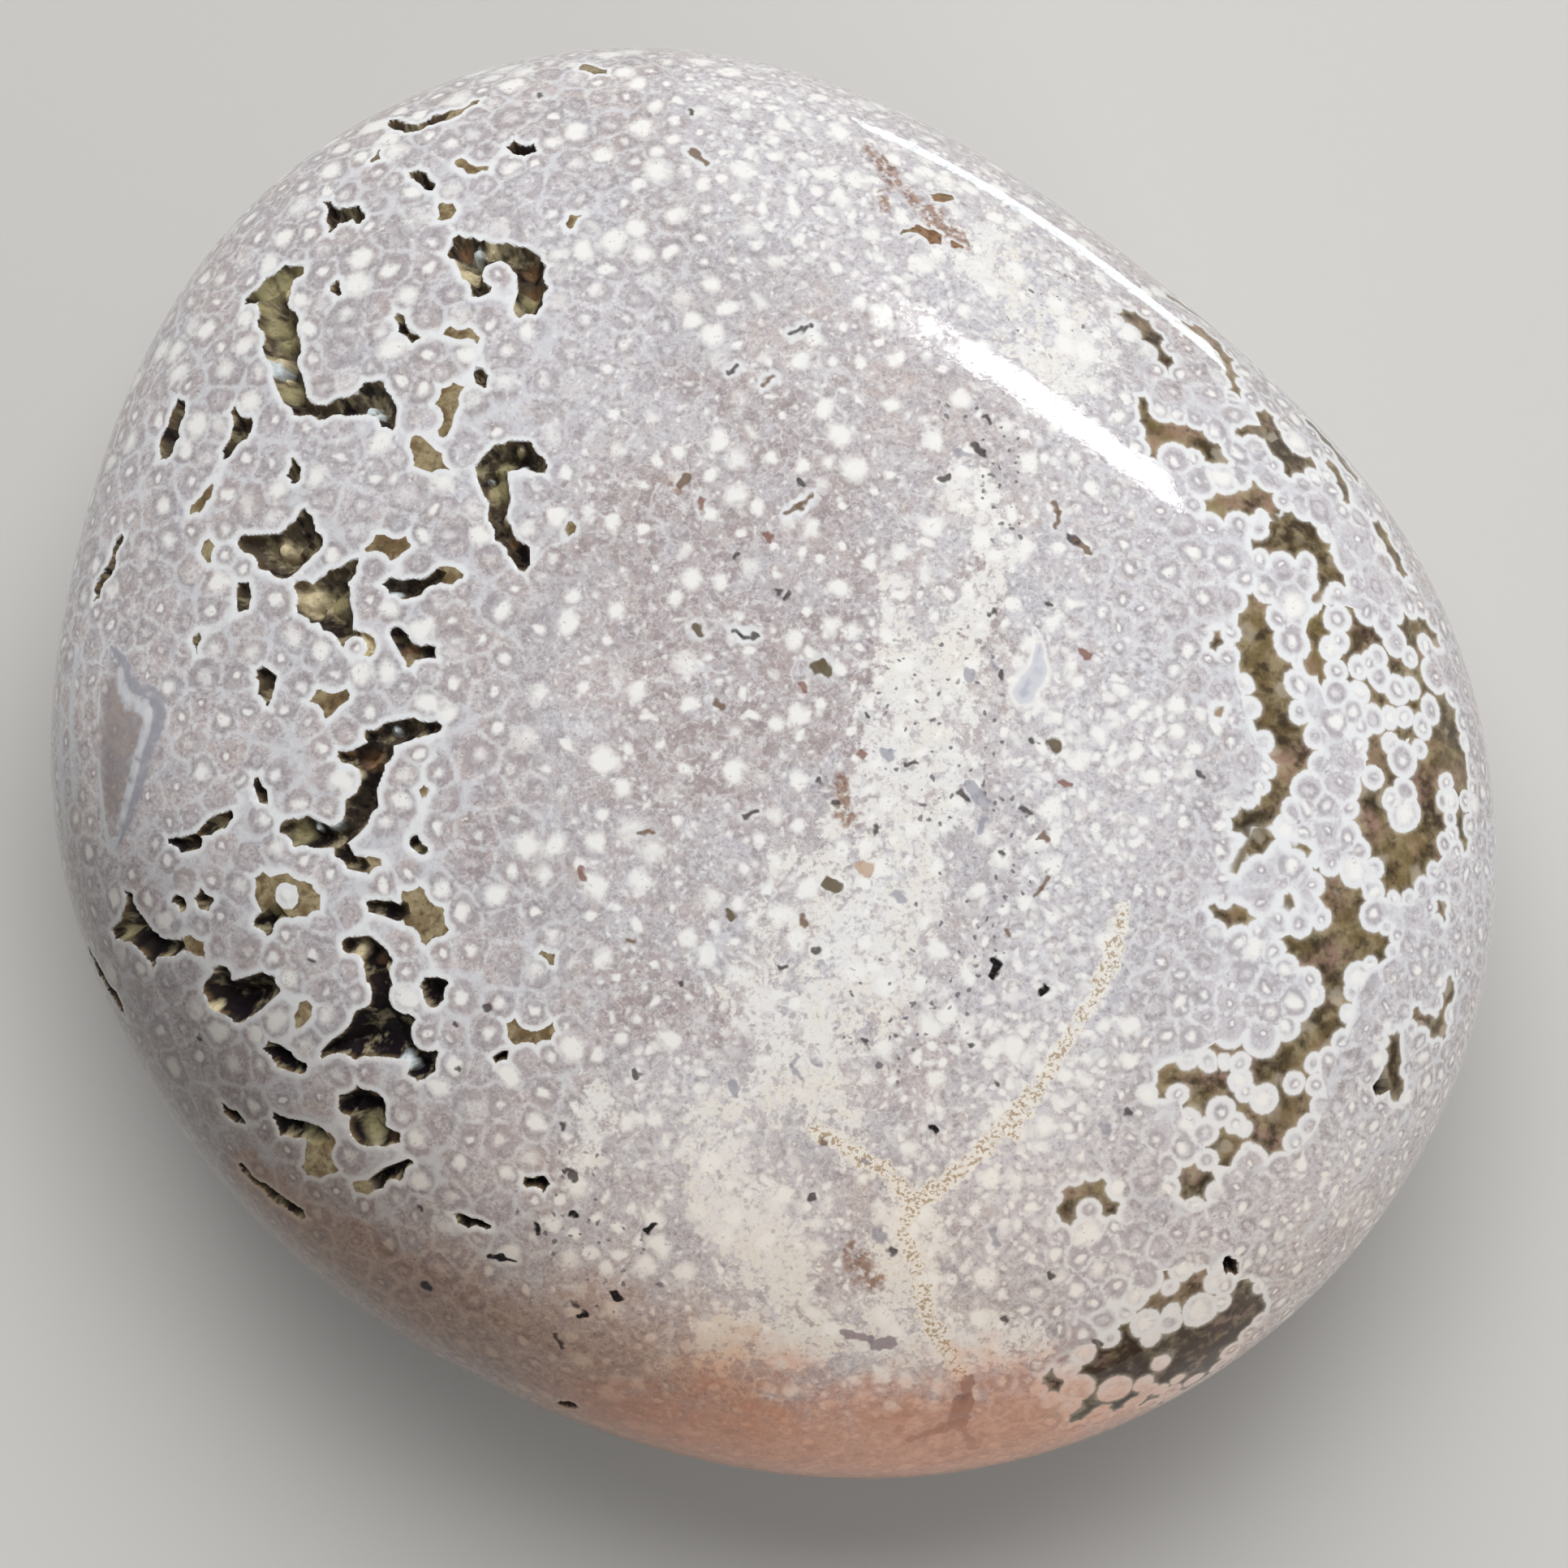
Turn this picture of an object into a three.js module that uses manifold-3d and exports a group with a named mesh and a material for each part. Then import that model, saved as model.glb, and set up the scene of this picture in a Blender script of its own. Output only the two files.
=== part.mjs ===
// Ocean jasper palm stone: one polished pebble of orbicular jasper that fits in a palm.
// Millimetres, +Z up. The broad polished face is up, and the stone lies on the small flat
// ground into its underside. The origin is the middle of that flat.
import * as THREE from "three";
import { mergeVertices } from "three/addons/utils/BufferGeometryUtils.js";
import Module from "manifold-3d";

// Driving dimensions of the pebble
const THICKNESS = 24; // from the flat to the crown of the face
const GIRDLE_HEIGHT = 11.6; // height of the widest line above the flat
const BELLY_DEPTH = 12.6; // how far the rounded underside would reach below the girdle, uncut
const SQUARENESS = 2.4; // 2 is an ellipse in section, and more makes flatter faces and fuller shoulders

// Radius of the widest line every 20 degrees, anticlockwise from +X
const OUTLINE = [
  28.8, 27.0, 25.2, 25.2, 27.1, 29.6, 31.0, 30.9, 29.7, 29.3, 28.7, 28.0, 27.7, 28.2, 29.4, 30.3,
  30.6, 30.1,
];

// Facets of the polished surface
const FACETS_AROUND = 84;
const RINGS = 22; // from the rim of the flat to the crown

// Vugs, the gaps between orbs that never filled. Each row is one star-shaped gap, and a long
// vug is a chain of them: x, y, half length, half width, turn in degrees, cusps
const VUGS = [
  // the long hooked vug at the upper left
  [-20.5, 19.1, 1.4, 1.0, 70, 5],
  [-20.3, 17.3, 1.5, 0.9, 95, 4],
  [-19.8, 15.4, 1.5, 0.8, 110, 5],
  [-18.4, 14.5, 1.7, 0.6, 165, 4],
  [-16.5, 14.4, 1.4, 0.8, 150, 5],
  // the vug beside it, round one pale orb
  [-11.9, 20.4, 1.4, 0.8, 35, 5],
  [-10.4, 19.2, 1.5, 0.9, 100, 4],
  [-11.6, 18.1, 1.3, 0.8, 20, 5],
  // small ones along the upper rim
  [-14.7, 25.6, 1.3, 0.5, 10, 3],
  [-10.3, 24.6, 0.7, 0.5, 40, 4],
  [-17.6, 22.0, 0.9, 0.8, 15, 5],
  [-15.1, 17.3, 0.9, 0.6, 80, 4],
  [-13.3, 14.6, 1.0, 0.5, 85, 4],
  [-14.0, 12.1, 0.9, 0.5, 170, 5],
  [-24.3, 13.4, 1.6, 0.8, 75, 4],
  [-21.6, 13.4, 0.6, 0.6, 0, 5],
  // the hanging vug between the upper left and the middle
  [-10.8, 11.9, 1.5, 1.0, 175, 5],
  [-11.0, 10.2, 1.2, 0.7, 80, 4],
  [-10.7, 8.8, 1.1, 0.5, 100, 3],
  // the pair at the left
  [-19.8, 8.9, 1.9, 1.4, 170, 6],
  [-18.3, 6.7, 1.5, 1.0, 125, 5],
  [-17.1, 4.9, 1.4, 0.8, 120, 4],
  [-14.7, 6.9, 0.9, 0.5, 150, 3],
  [-26.9, 7.7, 1.8, 0.6, 75, 4],
  [-20.6, 3.0, 1.0, 0.6, 60, 4],
  [-18.1, 2.4, 0.7, 0.6, 20, 5],
  [-15.4, 1.2, 1.6, 0.7, 175, 4],
  // the winding vug left of the middle
  [-16.8, -0.6, 1.3, 0.7, 85, 4],
  [-17.3, -2.3, 1.3, 0.8, 60, 5],
  [-19.0, -2.9, 1.3, 0.7, 175, 4],
  [-20.9, -1.2, 0.7, 0.5, 50, 4],
  [-22.7, -2.9, 0.9, 0.4, 30, 3],
  [-20.6, -5.4, 1.0, 0.7, 100, 5],
  [-20.4, -6.8, 0.8, 0.6, 150, 4],
  [-14.3, -6.3, 1.3, 0.9, 40, 5],
  // the open vugs at the lower left
  [-25.5, -6.8, 1.7, 1.4, 60, 5],
  [-23.6, -7.6, 1.2, 0.4, 175, 3],
  [-22.0, -9.5, 1.8, 1.0, 165, 5],
  [-16.1, -8.2, 1.2, 0.6, 85, 4],
  [-15.9, -9.9, 1.3, 0.8, 80, 4],
  [-16.0, -11.3, 2.4, 1.5, 10, 6],
  [-13.9, -9.4, 0.7, 0.5, 30, 4],
  [-10.0, -11.2, 1.1, 0.7, 165, 5],
  [-20.0, -12.1, 0.9, 0.5, 5, 4],
  [-16.6, -14.6, 1.4, 1.2, 60, 5],
  [-19.4, -15.2, 1.3, 0.7, 130, 4],
  [-15.6, -16.8, 1.0, 0.4, 120, 3],
  [-12.3, -18.8, 1.0, 0.5, 170, 4],
  [-9.6, -17.2, 0.8, 0.6, 20, 5],
  // pinholes in the speckled middle
  [8.9, -8.4, 0.5, 0.3, 60, 4],
  [1.9, 3.8, 0.5, 0.4, 20, 5],
];
const CUSP_REACH = 1.25; // the cusps run on between the orbs, past the gap's stated size
const CUSP_PINCH = 0.5; // how far the orbs bulge into a gap: 1 leaves a round hole
const FLOOR_SHARE = 0.55; // size of a vug's floor beside its mouth
const VUG_DEPTH = { least: 0.7, perHalfWidth: 0.9 };
const CLEAR_ABOVE = 1; // how far a cutter stands out of the stone

const wasm = await Module();
wasm.setup();

// A closed geometry as a solid that can be joined and cut
function solid(geometry) {
  geometry.deleteAttribute("normal");
  geometry.deleteAttribute("uv");
  const merged = mergeVertices(geometry, 1e-4);
  return new wasm.Manifold(
    new wasm.Mesh({
      numProp: 3,
      vertProperties: merged.getAttribute("position").array,
      triVerts: new Uint32Array(merged.index.array),
    }),
  );
}

// The finished solid as a geometry with flat-shaded facets
function geometryOf(made) {
  const { vertProperties, triVerts } = made.getMesh();
  const indexed = new THREE.BufferGeometry();
  indexed.setAttribute("position", new THREE.BufferAttribute(vertProperties, 3));
  indexed.setIndex(new THREE.BufferAttribute(triVerts, 1));
  const faceted = indexed.toNonIndexed();
  faceted.computeVertexNormals();
  return faceted;
}

// Radius of the widest line at an angle: the even trigonometric curve through OUTLINE
function outlineRadius(angle) {
  const count = OUTLINE.length;
  return OUTLINE.reduce((radius, value, i) => {
    const away = angle - (2 * Math.PI * i) / count;
    const atPoint = Math.abs(Math.sin(away / 2)) < 1e-9;
    const weight = atPoint ? 1 : Math.sin((count * away) / 2) / (count * Math.tan(away / 2));
    return radius + value * weight;
  }, 0);
}

// Height of the polished face at a share of the way out to the widest line
function faceHeight(share) {
  const crown = THICKNESS - GIRDLE_HEIGHT;
  return GIRDLE_HEIGHT + crown * (1 - share ** SQUARENESS) ** (1 / SQUARENESS);
}

// The face's height above the plan point x, y
function faceHeightAt(x, y) {
  return faceHeight(Math.hypot(x, y) / outlineRadius(Math.atan2(y, x)));
}

// The section's rings from the rim of the flat up to the last one below the crown: how far out each
// is as a share of the widest line, and its height
function sectionRings() {
  const flatTurn = -Math.asin((GIRDLE_HEIGHT / BELLY_DEPTH) ** (SQUARENESS / 2));
  return Array.from({ length: RINGS }, (_, ring) => {
    const turn = THREE.MathUtils.lerp(flatTurn, Math.PI / 2, ring / RINGS);
    const rise = Math.abs(Math.sin(turn)) ** (2 / SQUARENESS);
    const height = turn < 0 ? -BELLY_DEPTH * rise : (THICKNESS - GIRDLE_HEIGHT) * rise;
    return {
      share: Math.cos(turn) ** (2 / SQUARENESS),
      height: ring === 0 ? 0 : GIRDLE_HEIGHT + height,
    };
  });
}

// Triangles that fill in between the rim corners first and last, halving the span each time
function halveSpan(first, last) {
  if (last - first < 2) return [];
  const middle = Math.floor((first + last) / 2);
  const triangle = [first, last % FACETS_AROUND, middle];
  return [triangle, ...halveSpan(first, middle), ...halveSpan(middle, last)].flat();
}

// The flat under the stone: one large triangle in the middle, and smaller ones out to its rim
function flatUnderside() {
  const third = FACETS_AROUND / 3;
  return [
    [0, 2 * third, third],
    halveSpan(0, third),
    halveSpan(third, 2 * third),
    halveSpan(2 * third, FACETS_AROUND),
  ].flat();
}

// The pebble before its vugs, as rings of corners joined by facets, with the flat for its base
function pebble() {
  const place = sectionRings().flatMap(({ share, height }) =>
    Array.from({ length: FACETS_AROUND }, (_, corner) => {
      const angle = (2 * Math.PI * corner) / FACETS_AROUND;
      const radius = share * outlineRadius(angle);
      return [radius * Math.cos(angle), radius * Math.sin(angle), height];
    }).flat(),
  );
  place.push(0, 0, THICKNESS);

  const facets = flatUnderside();
  const crown = RINGS * FACETS_AROUND;
  for (let ring = 0; ring < RINGS; ring++) {
    for (let corner = 0; corner < FACETS_AROUND; corner++) {
      const here = ring * FACETS_AROUND + corner;
      const next = ring * FACETS_AROUND + ((corner + 1) % FACETS_AROUND);
      if (ring === RINGS - 1) {
        facets.push(here, next, crown);
      } else {
        facets.push(here, next, next + FACETS_AROUND);
        facets.push(here, next + FACETS_AROUND, here + FACETS_AROUND);
      }
    }
  }
  const surface = new THREE.BufferGeometry();
  surface.setAttribute("position", new THREE.Float32BufferAttribute(place, 3));
  surface.setIndex(facets);
  return solid(surface);
}

// A tapering cutter for one star-shaped gap, its mouth on the polished face at x, y
function vugCutter([x, y, halfLength, halfWidth, turn, cusps]) {
  const star = new THREE.Shape();
  for (let i = 0; i <= cusps; i++) {
    const cusp = (2 * Math.PI * i) / cusps;
    const between = cusp - Math.PI / cusps;
    const reach = CUSP_REACH * (1 - 0.1 * ((2 * (i % cusps)) % 3));
    const tip = [reach * Math.cos(cusp), reach * Math.sin(cusp)];
    const pinch = [CUSP_PINCH * Math.cos(between), CUSP_PINCH * Math.sin(between)];
    if (i === 0) star.moveTo(...tip);
    else star.quadraticCurveTo(...pinch, ...tip);
  }
  const depth = VUG_DEPTH.least + VUG_DEPTH.perHalfWidth * halfWidth;
  const cutter = new THREE.ExtrudeGeometry(star, {
    depth: depth + CLEAR_ABOVE,
    bevelEnabled: false,
    curveSegments: 2,
  });
  cutter.translate(0, 0, -depth);
  const place = cutter.getAttribute("position");
  for (let i = 0; i < place.count; i++) {
    const size = place.getZ(i) < 0 ? FLOOR_SHARE : 1;
    place.setX(i, place.getX(i) * size * halfLength);
    place.setY(i, place.getY(i) * size * halfWidth);
  }
  cutter.rotateZ(THREE.MathUtils.degToRad(turn));

  const step = 0.05;
  const slopeX = (faceHeightAt(x + step, y) - faceHeightAt(x - step, y)) / (2 * step);
  const slopeY = (faceHeightAt(x, y + step) - faceHeightAt(x, y - step)) / (2 * step);
  const outward = new THREE.Vector3(-slopeX, -slopeY, 1).normalize();
  const up = new THREE.Vector3(0, 0, 1);
  cutter.applyQuaternion(new THREE.Quaternion().setFromUnitVectors(up, outward));
  cutter.translate(x, y, faceHeightAt(x, y));
  return solid(cutter);
}

function palmStone() {
  const vugs = VUGS.map(vugCutter).reduce((all, next) => all.add(next));
  const stone = pebble().subtract(vugs);
  const polishedJasper = new THREE.MeshStandardMaterial({
    color: 0xbdb5b8,
    roughness: 0.15,
    metalness: 0,
  });
  const mesh = new THREE.Mesh(geometryOf(stone), polishedJasper);
  mesh.name = "palm_stone";
  return mesh;
}

const model = new THREE.Group();
model.add(palmStone());

export default model;
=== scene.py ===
"""Ocean jasper palm stone: one polished pebble of orbicular jasper, lying on its small flat.

The pebble is a smooth lozenge. Its pattern is grown on it: orbs of pale chalcedony, each with a
white heart, crowd together until they touch. Where they never met there is an open vug on one side
of the stone, and a flush window of olive jasper on the other. One field decides all of it, the
distance from the nearest orb's edge, so that the pits in the mesh and the colours agree.

Places on the face are read off the picture in its pixels, and carried to the stone along the
camera's rays. Everything else is in millimetres, and the finished mesh is scaled to metres.
"""

import math

import bpy
import numpy as np
from mathutils import Matrix, Vector, kdtree, noise
from mathutils.bvhtree import BVHTree


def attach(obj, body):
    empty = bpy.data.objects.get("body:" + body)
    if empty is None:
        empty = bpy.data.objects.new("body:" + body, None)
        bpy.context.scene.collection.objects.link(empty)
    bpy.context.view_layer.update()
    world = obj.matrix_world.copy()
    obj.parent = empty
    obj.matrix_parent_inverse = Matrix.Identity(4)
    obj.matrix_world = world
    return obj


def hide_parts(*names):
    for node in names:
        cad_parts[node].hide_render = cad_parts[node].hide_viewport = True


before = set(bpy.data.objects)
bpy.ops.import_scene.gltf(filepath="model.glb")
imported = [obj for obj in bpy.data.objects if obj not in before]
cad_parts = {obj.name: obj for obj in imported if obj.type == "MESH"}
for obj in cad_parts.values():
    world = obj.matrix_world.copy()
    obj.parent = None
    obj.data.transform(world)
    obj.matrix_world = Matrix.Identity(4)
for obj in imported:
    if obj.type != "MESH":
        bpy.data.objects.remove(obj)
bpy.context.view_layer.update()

MM = 0.001

# ------------------------------------------------------------------ the pebble, in millimetres
THICKNESS = 24.0  # from the flat to the crown of the face
GIRDLE_HEIGHT = 11.6  # height of the widest line above the flat
BELLY_DEPTH = 12.6  # how far the underside would reach below the girdle, uncut
SQUARENESS = 2.4  # of the section: 2 is an ellipse
FLAT_RIM = 0.12  # how softly the flat runs into the underside
MEAN_RADIUS = 29.0

# Radius of the widest line every 20 degrees, anticlockwise from +X
OUTLINE = [
    28.8, 27.0, 25.2, 25.2, 27.1, 29.6, 31.0, 30.9, 29.7,
    29.3, 28.7, 28.0, 27.7, 28.2, 29.4, 30.3, 30.6, 30.1,
]  # fmt: skip

# ------------------------------------------------------------------ the picture and its camera
PICTURE_SIDE = 1932  # pixels
PIXELS_PER_MM = 30.4  # at the height of the widest line
CAMERA_DISTANCE = 240.0  # from the point it is aimed at
CAMERA_TILT = math.radians(7)  # away from straight down
AIM = Vector((0.36, -1.02, GIRDLE_HEIGHT))
STONE_MIDDLE = (955, 935)  # pixels
SENSOR = 36.0
LENS = SENSOR * CAMERA_DISTANCE * PIXELS_PER_MM / PICTURE_SIDE

# ------------------------------------------------------------------ gaps between the orbs
# Each gap is one line through its middle: x, y and half width, in pixels of the picture.

# Open, dark and deep: the vugs
VUGS = [
    # the hooked vug at the upper left
    [(306, 372, 5), (330, 352, 12), (352, 338, 12), (368, 334, 5)],
    [(346, 345, 14), (335, 375, 20), (343, 405, 25), (350, 440, 20), (356, 470, 15),
     (366, 497, 12), (392, 507, 8), (428, 500, 10), (458, 489, 20), (476, 505, 10), (478, 524, 6)],
    # the vug beside it, round one pale orb
    [(552, 312, 6), (570, 302, 14), (586, 322, 20), (590, 350, 14)],
    [(600, 305, 10), (640, 318, 14), (655, 330, 16), (657, 360, 16), (648, 378, 13)],
    # along the upper rim
    [(479, 149, 4), (498, 158, 6), (520, 155, 6), (533, 147, 8), (545, 145, 5)],
    [(632, 178, 6), (645, 183, 11), (654, 182, 7)],
    [(505, 214, 4), (516, 214, 5), (522, 226, 5), (530, 229, 4)],
    [(402, 248, 3), (412, 262, 7), (425, 265, 8), (440, 260, 6), (443, 270, 4)],
    [(410, 270, 8), (405, 285, 4)],
    # small ones between the two
    [(412, 350, 3), (414, 358, 7)],
    [(489, 388, 4), (495, 405, 8), (512, 417, 4)],
    [(590, 460, 4), (595, 470, 6)],
    [(287, 508, 5), (297, 525, 13), (293, 542, 8), (276, 560, 3)],
    [(222, 495, 5), (216, 520, 12), (208, 545, 14), (200, 562, 6)],
    [(361, 570, 4), (361, 584, 9)],
    # the hanging vug
    [(597, 575, 9), (622, 562, 17), (650, 560, 14), (672, 582, 3)],
    [(606, 585, 16), (614, 615, 12), (612, 640, 8), (622, 662, 10), (640, 680, 10), (647, 703, 4)],
    # the winding vug at the left
    [(300, 668, 6), (330, 680, 20), (348, 676, 22), (372, 655, 14), (376, 635, 6)],
    [(350, 690, 20), (385, 668, 10)],
    [(437, 697, 5), (415, 712, 12), (406, 735, 24), (415, 765, 18), (425, 785, 8), (446, 796, 14)],
    [(372, 728, 10), (385, 745, 20)],
    [(478, 720, 6), (495, 727, 9), (520, 722, 8), (538, 709, 6)],
    [(488, 780, 5), (505, 800, 10), (535, 805, 5)],
    [(299, 722, 5), (300, 735, 7), (299, 748, 5)],
    [(318, 828, 5), (330, 835, 8), (326, 855, 7), (330, 866, 4)],
    [(242, 785, 4), (243, 800, 4)],
    [(148, 660, 4), (140, 685, 4), (136, 700, 4), (125, 715, 9), (118, 735, 5)],
    # the winding vug left of the middle
    [(457, 905, 6), (480, 905, 12), (510, 897, 10), (535, 893, 7)],
    [(420, 932, 8), (445, 937, 13), (468, 925, 14)],
    [(460, 945, 11), (450, 968, 12), (445, 992, 18), (438, 1010, 12), (418, 1027, 13),
     (395, 1030, 12), (372, 1025, 18), (355, 1022, 9)],
    [(281, 1004, 4), (266, 1017, 9), (248, 1023, 4)],
    [(240, 1037, 7), (222, 1042, 6), (208, 1035, 3)],
    [(315, 958, 4), (322, 975, 5), (325, 990, 3)],
    [(422, 1050, 8), (430, 1062, 6), (448, 1066, 6)],
    [(455, 1117, 4), (475, 1118, 8), (490, 1125, 7)],
    # the open vugs at the lower left
    [(157, 1106, 7), (163, 1140, 19), (182, 1162, 15), (205, 1168, 8), (222, 1168, 6)],
    [(182, 1165, 12), (186, 1190, 4)],
    [(163, 1143, 14), (143, 1152, 7)],
    [(219, 1113, 7), (221, 1115, 7)],
    [(245, 1102, 6), (252, 1110, 10)],
    [(273, 1203, 10), (268, 1225, 19), (290, 1235, 23), (310, 1225, 19), (330, 1213, 14)],
    [(325, 1140, 11), (335, 1130, 10), (342, 1120, 8)],
    [(430, 1165, 7), (450, 1170, 14), (465, 1185, 16), (466, 1200, 14), (470, 1235, 12),
     (468, 1262, 29)],
    [(400, 1300, 4), (415, 1290, 8), (440, 1285, 19), (465, 1268, 32), (490, 1275, 27),
     (520, 1290, 16), (530, 1300, 11)],
    [(520, 1315, 14), (510, 1325, 6)],
    [(522, 1215, 8), (535, 1220, 14), (545, 1215, 6)],
    [(535, 1220, 11), (533, 1232, 7)],
    [(333, 1292, 8), (345, 1303, 11), (368, 1313, 8)],
    [(428, 1360, 12), (442, 1348, 11), (455, 1365, 19), (452, 1390, 21), (470, 1400, 11),
     (490, 1402, 4)],
    [(342, 1378, 6), (350, 1390, 11), (375, 1392, 8), (392, 1400, 10)],
    [(274, 1364, 3), (285, 1372, 7), (296, 1382, 4)],
    [(295, 1436, 4), (320, 1460, 7), (345, 1480, 8), (372, 1497, 6)],
    [(112, 1175, 6), (125, 1203, 8), (140, 1225, 8), (152, 1248, 4)],
    [(462, 1458, 6), (480, 1450, 10), (503, 1435, 4)],
    [(562, 1500, 4), (580, 1508, 5), (600, 1510, 3)],
    [(513, 1038, 6), (520, 1046, 4)],
    [(622, 1303, 6), (610, 1307, 3)],
    # pinholes in the speckled middle and along the lower rim
    [(645, 1452, 4), (652, 1457, 5), (668, 1460, 9)],
    [(1698, 1338, 6), (1700, 1345, 6)],
    [(1515, 1555, 7), (1519, 1566, 8)],
    [(690, 1730, 5), (708, 1732, 6)],
]  # fmt: skip

# Filled flush with tan or brown jasper, among the vugs
FILLS = [
    [(549, 254, 6), (553, 262, 6), (541, 267, 3)],
    [(700, 276, 4), (706, 272, 6), (715, 265, 3)],
    [(717, 82, 4), (730, 87, 6), (742, 88, 7)],
    [(552, 143, 6), (568, 135, 5), (590, 124, 3)],
    [(566, 200, 4), (578, 208, 5), (598, 210, 3)],
    [(464, 190, 5), (462, 196, 5)],
    [(558, 408, 6), (572, 410, 5), (585, 415, 3)],
    [(553, 487, 12), (548, 510, 6), (547, 530, 3)],
    [(514, 545, 4), (520, 563, 9), (545, 573, 7)],
    [(703, 644, 4), (702, 656, 5)],
    [(462, 672, 8), (478, 675, 10), (497, 667, 6)],
    [(545, 708, 7), (562, 710, 6)],
    [(505, 800, 6), (503, 820, 4)],
    [(245, 620, 6), (240, 628, 5), (262, 600, 3)],
    [(258, 672, 6), (255, 684, 6)],
    [(388, 860, 4), (405, 862, 9), (422, 855, 5)],
    [(405, 866, 7), (402, 878, 4)],
    [(522, 968, 4), (522, 980, 5)],
    [(455, 1066, 7), (466, 1066, 4)],
    [(318, 1083, 5), (330, 1100, 12), (332, 1120, 6)],
    [(330, 1100, 12), (353, 1104, 22), (380, 1105, 10), (384, 1120, 5)],
    [(510, 1105, 10), (520, 1125, 20), (540, 1138, 10), (522, 1148, 8)],
    [(232, 1163, 6), (245, 1166, 8)],
    [(380, 1242, 6), (370, 1255, 5), (364, 1263, 3)],
    [(400, 1408, 10), (392, 1425, 13), (405, 1432, 10), (380, 1445, 6)],
    [(442, 1465, 7), (455, 1462, 4)],
    [(628, 1262, 5), (640, 1275, 8), (660, 1280, 10), (678, 1275, 7), (680, 1262, 4)],
    [(672, 1178, 6), (680, 1182, 5)],
    [(1112, 284, 3), (1132, 282, 3), (1150, 288, 7), (1152, 298, 5)],
    [(1172, 300, 3), (1184, 304, 4)],
    [(1148, 242, 4), (1170, 245, 5)],
]  # fmt: skip

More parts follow.
